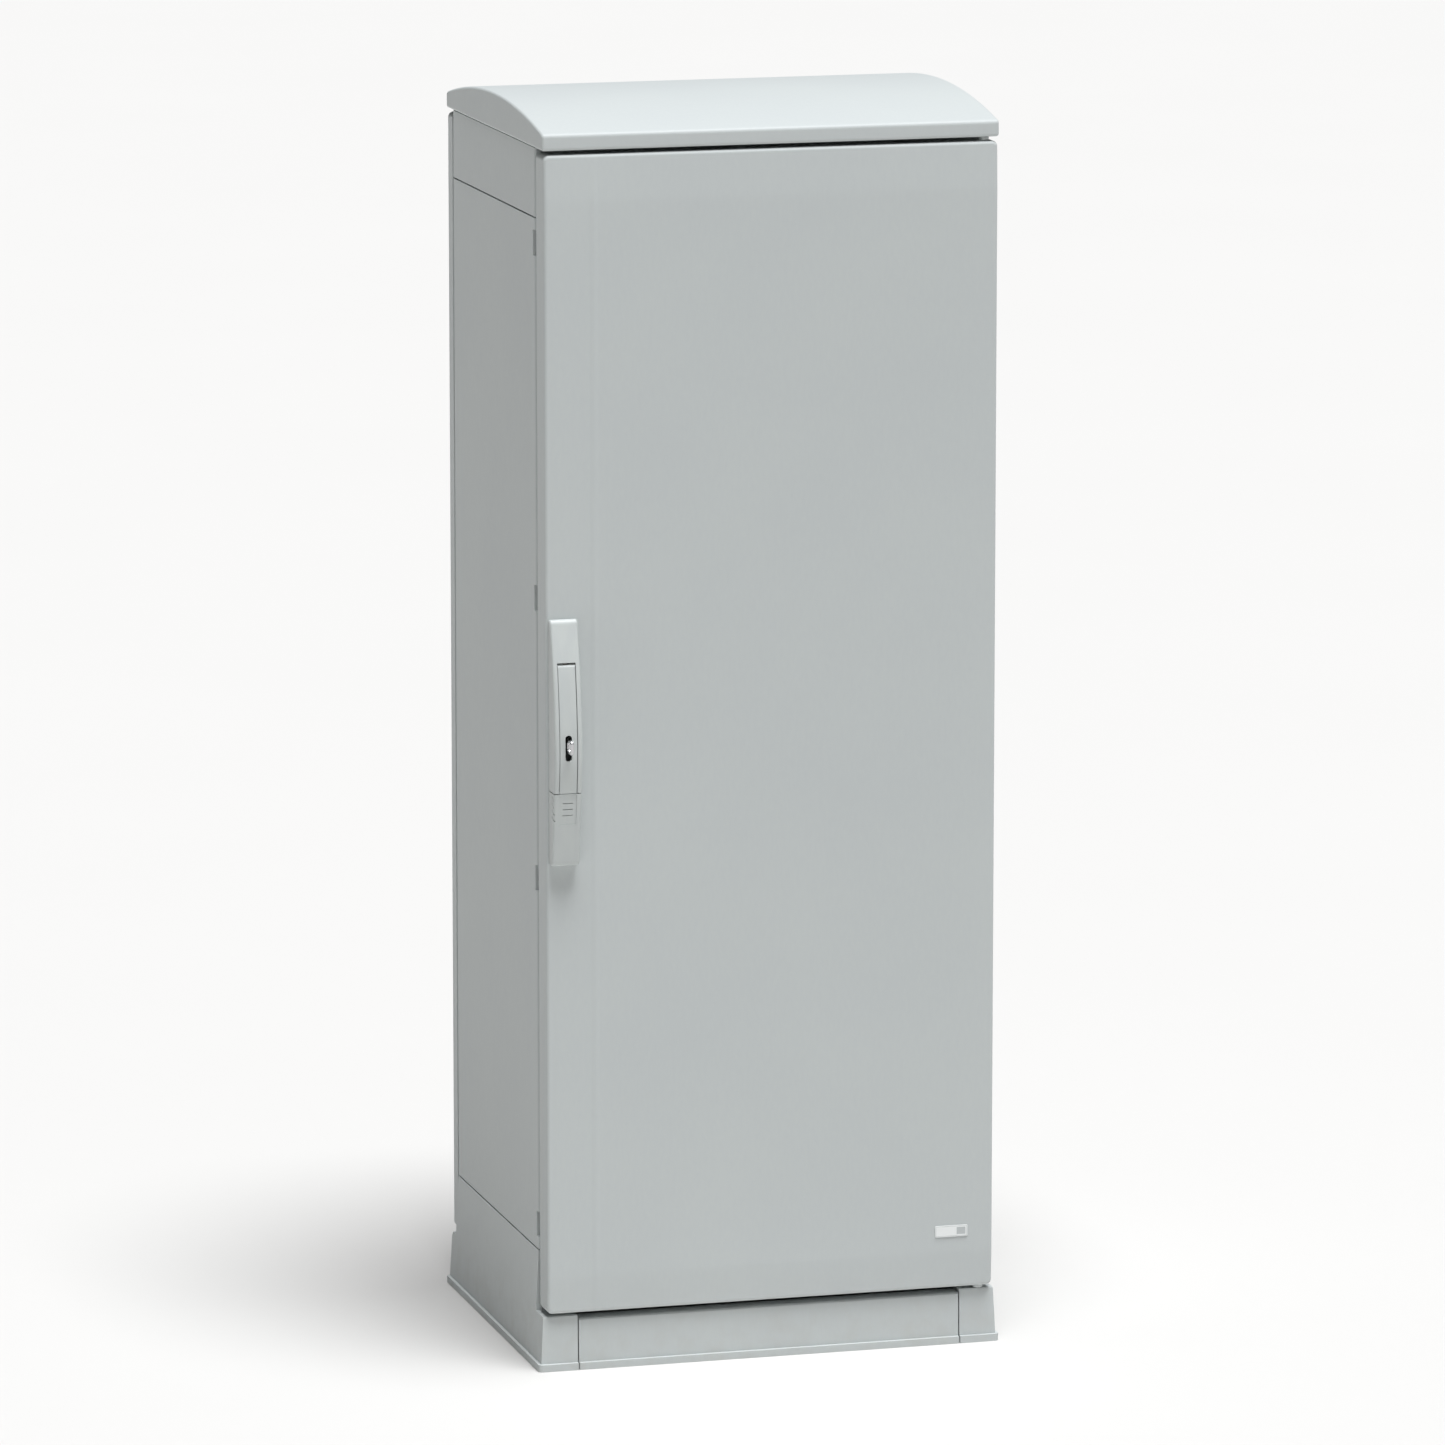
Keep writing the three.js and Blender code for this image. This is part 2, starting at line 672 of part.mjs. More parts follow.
/** The door: a tray with soft edges, borders that slope back, and a double rib that holds the gasket. */
function doorShell() {
  const long = doorDepth + edgeRadius;
  const outer = prism("y", roundedRectangle(-half, doorBottom, half, doorTop, 6), 0, long, edgeRadius);
  const trimmed = cut(outer, block([-width, doorDepth, 0], [width, long + 10, doorTop + 10]));
  const room = roundedRectangle(-half + wall, doorBottom + wall, half - wall, doorTop - wall, 3);
  const shell = cut(trimmed, prism("y", room, wall, doorDepth + 1));
  const slopeTop = [
    [-1, doorTop + 1],
    [-1, doorTop - topBorder],
    [0, doorTop - topBorder],
    [borderFall, doorTop + 1],
  ];
  const slopeBottom = [
    [-1, doorBottom - 1],
    [borderFall, doorBottom - 1],
    [0, doorBottom + bottomBorder],
    [-1, doorBottom + bottomBorder],
  ];
  const slopes = [slopeTop, slopeBottom].map((points) => prism("x", outline(points), -width, width));
  const sector = block(
    [handleX - gearWidth / 2 - 1.5, -1, leverZ - sectorRadius - 2],
    [handleX + gearWidth / 2 + 1.5, wall + 1, leverZ + sectorRadius + 2],
  );
  const screws = handleScrews.map((z) =>
    prism("y", round(handleX, handleZ + z, screwRadius + fit, 12), -1, wall + 1),
  );
  const ribs = [gasketRib(2), gasketRib(-gasketWidth - 2 * fit)];
  return cut(join(shell, ...ribs), ...slopes, rodWay(0, doorTop + 10), sector, ...screws);
}

/** The outline of the gasket's outer edge, grown by some amount. */
function gasketShape(grow) {
  const x = (collarOut + collarIn) / 2 + gasketWidth / 2 + grow;
  const z0 = collarBottom + wall / 2 - gasketWidth / 2 - grow;
  const z1 = collarTop - wall / 2 + gasketWidth / 2 + grow;
  return roundedRectangle(-x, z0, x, z1, Math.max(10 + grow, 2));
}

function gasketRib(grow) {
  const rib = prism("y", gasketShape(grow + fit), wall - 1, wall + 5);
  return cut(rib, prism("y", gasketShape(grow + fit - 2), wall - 2, wall + 6));
}

function doorGasket() {
  const ring = prism("y", gasketShape(0), gasketFront, gasketFront + gasketHeight);
  return cut(ring, prism("y", gasketShape(-gasketWidth), gasketFront - 1, gasketFront + gasketHeight + 1));
}

/** The blank nameplate low on the door. */
function doorLabel() {
  return prism("y", roundedRectangle(-18.4, -6.3, 18.4, 6.3, 1), -0.6 - fit, -fit);
}

// ---------------------------------------------------------------- handle
// The handle is drawn round its own middle: x = 0 on its centre line, y = 0 on the door's face, and z = 0 at
// its middle height.

const screwRadius = 2.5;
const handleScrews = [115, -115];
const recessTop = tongueTop + tongueTopGap;

/** The handle's side view, with its crown moved towards the door by an inset. */
function bowShape(inset = 0) {
  const end = handleHalf - inset;
  const at = (proud, z) => new THREE.Vector2(-proud + inset, z);
  const shape = new THREE.Shape();
  shape.moveTo(10, -end);
  shape.lineTo(-9 + inset, -end);
  shape.quadraticCurveTo(-14 + inset, -end, -14.8 + inset, -end + 6);
  shape.splineThru([
    at(crownSeam, gripSeam),
    at(crownMiddle, 0),
    at(crownUpper, crownUpperAt),
    at(8.6, end - 4),
  ]);
  shape.quadraticCurveTo(-7.2 + inset, end, -4 + inset, end);
  shape.lineTo(10, end);
  return shape;
}

const bow = () => prism("x", bowShape(), -handleWidth / 2, handleWidth / 2, handleRound);
const span = (y0, y1, z0, z1, x = 50) => block([-x, y0, z0], [x, y1, z1]);
const acrossHandle = (y, z, radius, reach) => prism("x", round(y, z, radius), -reach, reach);

/** The fixed part: two rails beside the tongue, the closed upper end, and the base plate under everything. */
function handleHousing() {
  const z0 = gripSeam + seamGap / 2;
  const upper = bow().intersect(span(-60, -fit, z0, handleHalf + 5));
  const recess = span(-60, -basePlate - fit, z0 - 1, recessTop, tongueWidth / 2 + tongueSideGap);
  const base = prism("y", roundedRectangle(-15.3, -handleHalf, 15.3, handleHalf, 3), -basePlate - fit, -fit);
  const apron = prism("y", roundedRectangle(-15.3, -59, 17.2, handleHalf, 3), -basePlate - fit, -fit);
  const sweep = sectorRadius + addendum + 1;
  const pivotWay = span(-3, 1, pivotHeight - sweep - 1, recessTop, tongueWidth / 2 + tongueSideGap);
  const sectorWay = prism("x", bowShape(1.9), -gearWidth / 2 - 1, gearWidth / 2 + 1).intersect(
    span(-60, 1, pivotHeight - 5, pivotHeight + sweep),
  );
  const bore = acrossHandle(-pivotProud, pivotHeight, pivotPinRadius + running, handleWidth / 2 - 1.5);
  const screws = handleScrews.map((z) => prism("y", round(0, z, screwRadius + fit, 12), -9, 1));
  return cut(join(cut(upper, recess), base, apron), pivotWay, sectorWay, bore, ...screws);
}

/** The moving part: the tongue with its staple slot, and the full-width grip below the seam. */
function lever() {
  const z1 = gripSeam - seamGap / 2;
  const back = -basePlate - 2 * fit;
  const grip = bow().intersect(span(-60, back, -handleHalf - 5, z1));
  const gripRoom = prism("x", bowShape(3.5), -handleWidth / 2 + 3, handleWidth / 2 - 3).intersect(
    span(-60, 1, -handleHalf, z1 - 3),
  );
  const side = tongueWidth / 2;
  const topY = -crownUpper + 2.3;
  const blank = prism("x", bowShape(tongueSunk), -side, side, tongueEdge).intersect(
    span(-60, -pivotProud + 4, z1 - 4, tongueTop),
  );
  const corner = cut(
    span(topY - 6, topY + tongueRound, tongueTop - tongueRound, tongueTop + 1),
    acrossHandle(topY + tongueRound, tongueTop - tongueRound, tongueRound, 51),
  );
  const tongueRoom = prism("x", bowShape(tongueShell), -side + 3, side - 3).intersect(
    span(-60, 1, z1 + 2, pivotHeight - 14),
  );
  const slotEnd = slotWidth / 2 - 0.05;
  const slotShape = roundedRectangle(-slotWidth / 2, slotBottom, slotWidth / 2, slotTop, slotEnd);
  const slot = prism("y", slotShape, -60, 0);
  const hubFront = -pivotProud - sectorHub - fit;
  const sectorSlot = span(hubFront, 1, pivotHeight - 12, tongueTop + 1, gearWidth / 2 + fit);
  const bore = acrossHandle(-pivotProud, pivotHeight, pivotPinRadius + running, 30);
  return cut(join(cut(grip, gripRoom), cut(blank, tongueRoom)), corner, slot, sectorSlot, bore);
}

/** The padlock staple: a flat eye on a foot, standing out through the tongue's slot. */
function padlockStaple() {
  const back = -basePlate - 2 * fit;
  const h = stapleHeight / 2;
  const side = stapleThickness / 2;
  const plate = prism("x", roundedRectangle(-stapleProud, -h, back, h, 2.4), -side, side);
  const foot = block([-5, back - 2, -h - 2], [5, back, h + 2]);
  const y0 = -stapleProud + stapleRim;
  const eye = roundedRectangle(y0, -stapleEye[1] / 2, y0 + stapleEye[0], stapleEye[1] / 2, 1.5);
  return cut(join(plate, foot), prism("x", eye, -5, 5));
}

// ---------------------------------------------------------------- lock drive

const involute = (angle) => Math.tan(angle) - angle;

/** Half the angle that a tooth of a wheel spans at some radius. */
function toothHalfAngle(pitchRadius, radius) {
  const baseRadius = pitchRadius * Math.cos(pressureAngle);
  const at = (r) => involute(Math.acos(Math.min(1, baseRadius / Math.max(r, baseRadius))));
  return (toothShare * gearPitch) / (2 * pitchRadius) + at(pitchRadius) - at(radius);
}

/** The corners of a run of teeth. Tooth 0 points along the first direction of the plane. */
function toothCorners(teeth, first, last) {
  const pitchRadius = (teeth * gearModule) / 2;
  const steps = 3;
  const low = pitchRadius - dedendum;
  const radii = Array.from({ length: steps + 1 }, (_, i) => low + (i * (addendum + dedendum)) / steps);
  const corner = (angle, r) => [r * Math.cos(angle), r * Math.sin(angle)];
  const corners = [];
  for (let k = first; k <= last; k += 1) {
    const middle = (2 * Math.PI * k) / teeth;
    radii.forEach((r) => corners.push(corner(middle - toothHalfAngle(pitchRadius, r), r)));
    radii.toReversed().forEach((r) => corners.push(corner(middle + toothHalfAngle(pitchRadius, r), r)));
  }
  return corners;
}

/** The toothed sector on the lever, drawn round its pivot. */
function leverSector() {
  const lastTooth = Math.ceil((leverTravel / (2 * Math.PI)) * sectorTeeth) - 1;
  const hub = prism("x", round(0, 0, sectorHub), -gearWidth / 2, gearWidth / 2);
  const corners = [[0, 0], ...toothCorners(sectorTeeth, -1, lastTooth)];
  const fan = prism("x", outline(corners), -gearWidth / 2, gearWidth / 2);
  return cut(join(hub, fan), acrossHandle(0, 0, pivotPinRadius + running, gearWidth));
}

function reversingPinion() {
  const wheel = outline(toothCorners(pinionTeeth, 0, pinionTeeth - 1));
  return cut(
    prism("x", wheel, -gearWidth / 2, gearWidth / 2),
    acrossHandle(0, 0, pinionAxleRadius + running, gearWidth),
  );
}

/** The corners of the gaps cut into one face of a rod, upwards, with one gap centred on a given height. */
function rackCorners(face, inwards, gapZ, first, last) {
  const slope = Math.tan(pressureAngle);
  const atFace = ((1 - toothShare) * gearPitch) / 2 + addendum * slope;
  const atRoot = ((1 - toothShare) * gearPitch) / 2 - dedendum * slope;
  const root = face + inwards * (addendum + dedendum);
  const corners = [];
  for (let k = first; k <= last; k += 1) {
    const z = gapZ + k * gearPitch;
    corners.push([face, z - atFace], [root, z - atRoot], [root, z + atRoot], [face, z + atFace]);
  }
  return corners;
}

const upperRodBottom = pinionHeight - 2 * gearPitch;
const travelGaps = Math.ceil(rodTravel / gearPitch) + 1;

/** The upper rod: its front face meshes with the sector, its back face with the pinion. */
function upperRod() {
  const bottom = upperRodBottom;
  const top = lockHeights[0] - handleZ + rodEnd;
  const corners = [
    [upperRodFront, bottom],
    ...rackCorners(upperRodFront, 1, pivotHeight, -2, travelGaps),
    [upperRodFront, top - 3],
    [upperRodFront + 2, top],
    [upperRodBack - 2, top],
    [upperRodBack, top - 3],
    ...rackCorners(upperRodBack, -1, pinionHeight, -1, travelGaps).toReversed(),
    [upperRodBack, bottom],
  ];
  return prism("x", outline(corners), -rodWidth / 2, rodWidth / 2);
}

/** The lower rod: it meshes behind the pinion, and is cranked forward below to line up with the upper rod. */
function lowerRod() {
  const top = pinionHeight + 1.55 * gearPitch;
  const crank = upperRodBottom - 2 * rodTravel - 3;
  const shift = lowerRodFront - upperRodFront;
  const bottom = lockHeights[3] - handleZ - rodEnd;
  const corners = [
    [upperRodFront, bottom + 3],
    [upperRodFront, crank - shift],
    [lowerRodFront, crank],
    ...rackCorners(lowerRodFront, 1, pinionHeight, -travelGaps, 1),
    [lowerRodFront, top],
    [lowerRodBack, top],
    [lowerRodBack, crank - 2.5],
    [upperRodBack, crank - shift - 2.5],
    [upperRodBack, bottom + 3],
    [upperRodBack - 2, bottom],
    [upperRodFront + 2, bottom],
  ];
  return prism("x", outline(corners), -rodWidth / 2, rodWidth / 2);
}

/** A headed locking stud on the inboard side of a rod. */
function lockingStud() {
  const root = rodWidth / 2 + fit;
  const shank = prism("x", round(studY, 0, studRadius), root, root + studReach);
  const head = prism("x", round(studY, 0, studRadius + 1.5), root + studReach - 3, root + studReach);
  return join(shank, head);
}

/** A channel over a rod or over the whole drive, with a lip along each side that is screwed to the door. */
function channel(inner, back, z0, z1, lip) {
  const front = wall + fit;
  const x = rodWidth / 2 + inner;
  const section = [
    [-x - sheet - lip, front],
    [-x, front],
    [-x, back],
    [x, back],
    [x, front],
    [x + sheet + lip, front],
    [x + sheet + lip, front + sheet],
    [x + sheet, front + sheet],
    [x + sheet, back + sheet],
    [-x - sheet, back + sheet],
    [-x - sheet, front + sheet],
    [-x - sheet - lip, front + sheet],
  ];
  return prism("z", outline(section), z0, z1);
}

const caseBottom = pinionHeight - 18;
const caseTop = pivotHeight + sectorRadius - 2.75;

/** The drive's case, which also holds the pinion's axle. */
function gearboxCase() {
  const shell = channel(slideFit, lowerRodBack + slideFit, caseBottom, caseTop, 5);
  return cut(shell, acrossHandle(pinionY, pinionHeight, pinionAxleRadius + fit, 30));
}

const rodGuide = () => channel(slideFit, upperRodBack + slideFit, -8, 8, 4.5);
const rodGuideHeights = [
  lockHeights[0] - handleZ - 70,
  lockHeights[1] - handleZ + 62,
  -96,
  lockHeights[3] - handleZ + 97,
]; // from the handle's middle

/** The axle of the pinion, headed outside the case. */
function pinionAxle() {
  const x = rodWidth / 2 + slideFit + sheet + fit;
  const shank = acrossHandle(0, 0, pinionAxleRadius, x);
  const heads = [-1, 1].map((side) => {
    const ends = [side * x, side * (x + 1.2)].toSorted((a, b) => a - b);
    return prism("x", round(0, 0, pinionAxleRadius + 1.5), ...ends);
  });
  return join(shank, ...heads);
}

const leverPin = () => acrossHandle(0, 0, pivotPinRadius, handleWidth / 2 - 1.8);

/** A handle screw, from inside the door into the housing. */
function handleScrew(reach) {
  const head = prism("y", round(0, 0, 5), wall + fit, upperRodFront - fit);
  return join(head, prism("y", round(0, 0, screwRadius, 12), -reach, wall + fit + 1));
}

// ---------------------------------------------------------------- assembly

const sidePanelLeft = sidePanel();
const plinthSideLeft = plinthSide();
const uprightLeft = upright();
const cover = plinthCover();
const foot = { keeper: keeper(), arm: hingeArm(), leaf: hingeLeaf() };
const plateFixing = plateStud();
const stud = lockingStud();

const bodyGroup = group(
  [0, 0, 0],
  piece("plinth_side_left", plinthSideLeft, polyester),
  piece("plinth_side_right", mirrored(plinthSideLeft), polyester),
  piece("plinth_front_cover", cover, polyester),
  turnedToBack("plinth_rear_cover", cover, polyester),
  piece("base_frame", baseFrame(), polyesterInner),
  piece("gland_plate", glandPlate(), galvanised),
  piece("side_panel_left", sidePanelLeft, polyester),
  piece("side_panel_right", mirrored(sidePanelLeft), polyester),
  piece("top_frame", topFrame(), polyester),
  piece("canopy", canopy(), polyester),
  piece("rear_panel", rearPanel(), polyester),
  piece("rear_gasket", rearGasket(), rubber),
  piece("upright_left", uprightLeft, galvanised),
  piece("upright_right", mirrored(uprightLeft), galvanised),
  piece("mounting_plate", mountingPlate(), galvanised),
  piece("earth_stud", earthStud(), brass, [-half + 45, bodyBack - 35, collarBottom + fit]),
  ...plateBolts.map(([x, z], i) =>
    piece(`plate_stud_${i + 1}`, plateFixing, zincSteel, [x, uprightFront - fit - plateThickness, z]),
  ),
);

const capTop = [hingeX, hingeSetback, doorTop + fit];
const capBottom = [hingeX, hingeSetback, doorBottom - fit];
const lockPointGroup = group(
  [0, 0, 0],
  ...lockHeights.map((z, i) => piece(`keeper_${i + 1}`, foot.keeper, zincSteel, [0, 0, z])),
  ...lockHeights.map((z, i) => piece(`hinge_arm_${i + 1}`, foot.arm, zincSteel, [0, 0, z])),
  piece("hinge_rod", hingeRod(), zincSteel, [hingeX, hingeSetback, 0]),
  piece("hinge_cap_top", hingeCap(canopyGap), handleGrey, capTop),
  turnedOver("hinge_cap_bottom", hingeCap(plinthClearance), handleGrey, capBottom),
);

/** A piece turned upside down about its own X. */
function turnedOver(name, body, material, position) {
  const mesh = piece(name, body, material, position);
  mesh.rotation.x = Math.PI;
  return mesh;
}

const labelPlace = [half - 47, 0, doorBottom + 63.7];
const doorGroup = group(
  [0, 0, 0],
  piece("door_shell", doorShell(), polyester),
  piece("door_gasket", doorGasket(), rubber),
  piece("door_label", doorLabel(), labelWhite, labelPlace),
  ...lockHeights.map((z, i) => piece(`hinge_leaf_${i + 1}`, foot.leaf, zincSteel, [0, 0, z])),
);

const handleGroup = group(
  [handleX, 0, handleZ],
  piece("handle_housing", handleHousing(), handleGrey),
  piece("lever", lever(), handleGrey),
  piece("padlock_staple", padlockStaple(), chrome),
  piece("lever_pin", leverPin(), zincSteel, [0, -pivotProud, pivotHeight]),
  piece("lever_sector", leverSector(), zincSteel, [0, -pivotProud, pivotHeight]),
  piece("handle_screw_top", handleScrew(8), zincSteel, [0, 0, handleScrews[0]]),
  piece("handle_screw_bottom", handleScrew(basePlate), zincSteel, [0, 0, handleScrews[1]]),
  piece("gearbox_case", gearboxCase(), galvanised),
  piece("reversing_pinion", reversingPinion(), zincSteel, [0, pinionY, pinionHeight]),
  piece("pinion_axle", pinionAxle(), zincSteel, [0, pinionY, pinionHeight]),
  piece("upper_rod", upperRod(), zincSteel),
  piece("lower_rod", lowerRod(), zincSteel),
  ...rodGuideHeights.map((z, i) => piece(`rod_guide_${i + 1}`, rodGuide(), galvanised, [0, 0, z])),
  ...lockHeights.map((z, i) => piece(`locking_stud_${i + 1}`, stud, zincSteel, [0, 0, z - handleZ])),
);

const cabinet = new THREE.Group();
cabinet.name = "outdoor_service_cabinet";
cabinet.add(group([0, (stapleProud - rearFace) / 2, 0], bodyGroup, lockPointGroup, doorGroup, handleGroup));

export default cabinet;
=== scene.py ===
"""Outdoor service cabinet: moulded polyester skins, a bowed fold-out handle, its lock drive and fittings."""

import json
import logging
import math
from abc import ABC, abstractmethod
from collections.abc import Callable, Iterable, Sequence
from dataclasses import dataclass, field
from enum import Enum

import bmesh
import bpy
from mathutils import Matrix, Vector


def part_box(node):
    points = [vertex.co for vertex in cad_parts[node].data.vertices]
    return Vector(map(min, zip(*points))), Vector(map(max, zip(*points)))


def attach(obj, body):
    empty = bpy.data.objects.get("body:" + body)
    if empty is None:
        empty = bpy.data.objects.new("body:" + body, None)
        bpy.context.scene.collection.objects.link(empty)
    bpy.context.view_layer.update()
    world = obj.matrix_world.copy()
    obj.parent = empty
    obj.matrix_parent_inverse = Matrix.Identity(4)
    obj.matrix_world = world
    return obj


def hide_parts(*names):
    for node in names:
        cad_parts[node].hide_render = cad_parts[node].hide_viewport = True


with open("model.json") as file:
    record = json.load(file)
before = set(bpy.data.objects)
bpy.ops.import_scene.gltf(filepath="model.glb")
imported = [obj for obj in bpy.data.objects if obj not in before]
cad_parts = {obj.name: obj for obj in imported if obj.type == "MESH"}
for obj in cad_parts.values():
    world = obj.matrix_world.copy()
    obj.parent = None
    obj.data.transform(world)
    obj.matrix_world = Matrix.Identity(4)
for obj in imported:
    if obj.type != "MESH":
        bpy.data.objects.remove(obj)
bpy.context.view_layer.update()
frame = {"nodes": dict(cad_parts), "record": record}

LOG = logging.getLogger("cabinet")
MM = 0.001

Point = tuple[float, float]
Triple = tuple[float, float, float]
Colour = Triple


# ---------------------------------------------------------------- shader graphs


@dataclass(frozen=True)
class Signal:
    """One output of a node graph, with arithmetic on it."""

    graph: "Graph"
    socket: bpy.types.NodeSocket

    def _with(self, operation: str, other: "Signal | float | Triple", flipped: bool = False) -> "Signal":
        """Adds a Math node, or a Vector Math node where this is a vector.

        Args:
            operation: the node's operation.
            other: the second operand.
            flipped: whether the second operand comes first.

        Returns:
            The node's result.
        """
        kind = "ShaderNodeVectorMath" if self.socket.type == "VECTOR" else "ShaderNodeMath"
        pair = (other, self) if flipped else (self, other)
        return self.graph.node(kind, {"operation": operation}, dict(enumerate(pair)))

    def __add__(self, other: "Signal | float") -> "Signal":
        """The sum."""
        return self._with("ADD", other)

    __radd__ = __add__

    def __sub__(self, other: "Signal | float") -> "Signal":
        """The difference."""
        return self._with("SUBTRACT", other)

    def __rsub__(self, other: float) -> "Signal":
        """A number less this."""
        return self._with("SUBTRACT", other, flipped=True)

    def __mul__(self, other: "Signal | float | Triple") -> "Signal":
        """The product, axis by axis for a vector."""
        return self._with("MULTIPLY", other)

    __rmul__ = __mul__

    def least(self, other: "Signal | float") -> "Signal":
        """The smaller of two values."""
        return self._with("MINIMUM", other)

    def most(self, other: "Signal | float") -> "Signal":
        """The larger of two values."""
        return self._with("MAXIMUM", other)

    def size(self) -> "Signal":
        """The value without its sign."""
        return self.graph.node("ShaderNodeMath", {"operation": "ABSOLUTE"}, {0: self})

    def ramp(self, low: float, high: float) -> "Signal":
        """A smooth step from 0, where this is at the low value, to 1 at the high one."""
        settings = {"interpolation_type": "SMOOTHSTEP", "clamp": True}
        inputs = {"Value": self, "From Min": low, "From Max": high}
        return self.graph.node("ShaderNodeMapRange", settings, inputs)


@dataclass
class Graph:
    """A tree of nodes."""

    tree: bpy.types.NodeTree

    def node(
        self,
        kind: str,
        settings: dict[str, object] | None = None,
        inputs: dict[str | int, object] | None = None,
        output: str | int | None = 0,
    ) -> Signal | None:
        """Adds a node.

        Args:
            kind: the node's type.
            settings: its properties, which are set first.
            inputs: values or signals for its sockets, by name or number.
            output: the socket that is wanted, by name or number, or None where it has none.

        Returns:
            That output.
        """
        made = self.tree.nodes.new(kind)
        for key, value in (settings or {}).items():
            setattr(made, key, value)
        for key, value in (inputs or {}).items():
            self.feed(made.inputs[key], value)
        return None if output is None else Signal(self, made.outputs[output])

    def feed(self, socket: bpy.types.NodeSocket, value: object) -> None:
        """Sets a socket, or links a signal to it.

        Args:
            socket: the input socket.
            value: a number, a colour, a vector or a signal.
        """
        if isinstance(value, Signal):
            self.tree.links.new(value.socket, socket)
        elif socket.type == "RGBA":
            socket.default_value = (*value, 1.0)
        else:
            socket.default_value = value


class Surface(Graph):
    """The node graph of one material."""

    def __init__(self, name: str) -> None:
        """Makes a material with a Principled shader.

        Args:
            name: the material's name.
        """
        self.material = bpy.data.materials.new(name)
        self.material.use_nodes = True
        super().__init__(self.material.node_tree)
        self.shader = next(n for n in self.tree.nodes if n.type == "BSDF_PRINCIPLED")

    def place(self) -> Signal:
        """The point on the surface, in metres, in the cabinet's own frame."""
        return self.node("ShaderNodeTexCoord", output="Object")

    def part_of(self, place: Signal, axis: str) -> Signal:
        """One coordinate of a point."""
        return self.node("ShaderNodeSeparateXYZ", inputs={0: place}, output=axis)

    def noise(self, place: Signal, grain: float, detail: float = 2.0, roughness: float = 0.5) -> Signal:
        """Cloudy noise, about 0.5 on average, with spots of a given size in metres."""
        inputs = {"Vector": place, "Scale": 1 / grain, "Detail": detail, "Roughness": roughness}
        return self.node("ShaderNodeTexNoise", inputs=inputs, output="Fac")

    def cells(self, place: Signal, grain: float, output: str = "Distance") -> Signal:
        """Crystal-like cells of a given size in metres."""
        return self.node("ShaderNodeTexVoronoi", inputs={"Vector": place, "Scale": 1 / grain}, output=output)

    def mix(self, first: "Signal | Colour", second: "Signal | Colour", share: Signal) -> Signal:
        """A blend of two colours, by the share of the second one."""
        return self.node("ShaderNodeMix", {"data_type": "RGBA"}, {0: share, 6: first, 7: second}, output=2)

    def relief(self, height: Signal, depth: float, strength: float = 1.0) -> Signal:
        """The normal bent by a height from 0 to 1, where 1 stands for a depth in metres."""
        return self.node("ShaderNodeBump", inputs={"Height": height, "Distance": depth, "Strength": strength})

    def surface(self, **inputs: object) -> bpy.types.Material:
        """Feeds the shader.

        Args:
            inputs: values or signals, by socket name with _ for a space.

        Returns:
            The material.
        """
        for key, value in inputs.items():
            self.feed(self.shader.inputs[key.replace("_", " ")], value)
        return self.material


def tone(*screen: int) -> Colour:
    """A colour from its three 8-bit screen values."""
    values = [v / 255 for v in screen]
    return tuple(v / 12.92 if v <= 0.04045 else ((v + 0.055) / 1.055) ** 2.4 for v in values)


# ---------------------------------------------------------------- finishes


@dataclass(frozen=True)
class Finish(ABC):
    """What a surface is made of."""

    name: str

    @abstractmethod
    def paint(self, graph: Surface) -> bpy.types.Material:
        """Builds the graph and returns its material."""

    def material(self) -> bpy.types.Material:
        """The material, made when it is first asked for."""
        return bpy.data.materials.get(self.name) or self.paint(Surface(self.name))


@dataclass(frozen=True)
class MouldedPolyester(Finish):
    """Hot-pressed glass-reinforced polyester: a semi-matt skin over faint fibre clouds, dusty at the foot."""

    colour: Colour
    shade: Colour
    roughness: float = 0.5
    gloss: float = 0.28
    cloud: float = 190 * MM
    fibre: float = 4 * MM
    flow: Triple = (1.0, 1.0, 0.35)
    grain: float = 1.1 * MM
    wave: float = 30 * MM
    depth: float = 0.022 * MM
    dust: Colour = tone(176, 172, 162)
    dust_height: float = 110 * MM
    dust_spot: float = 20 * MM
    dust_share: float = 0.16

    def paint(self, graph: Surface) -> bpy.types.Material:
        """Paints clouds of fibre, an orange-peel skin, and dust near the ground.

        Args:
            graph: the material's graph.

        Returns:
            The material.
        """
        place = graph.place()
        clouds = graph.noise(place, self.cloud, detail=3)
        fibres = graph.noise(place * self.flow, self.fibre, detail=4, roughness=0.62)
        skin = graph.noise(place, self.grain, detail=3, roughness=0.55)
        slack = graph.noise(place, self.wave, detail=1)
        blotches = (clouds * 0.55 + fibres * 0.45).ramp(0.3, 0.7)
        low = 1 - graph.part_of(place, "Z").ramp(0.0, self.dust_height)
        dust = low * graph.noise(place, self.dust_spot, detail=5).ramp(0.38, 0.72) * self.dust_share
        return graph.surface(
            Base_Color=graph.mix(graph.mix(self.colour, self.shade, blotches), self.dust, dust),
            Roughness=self.roughness - 0.05 + 0.1 * fibres + dust * 0.5,
            Specular_IOR_Level=self.gloss,
            Normal=graph.relief(skin * 0.8 + slack * 0.9 + fibres * 0.25, self.depth),
        )


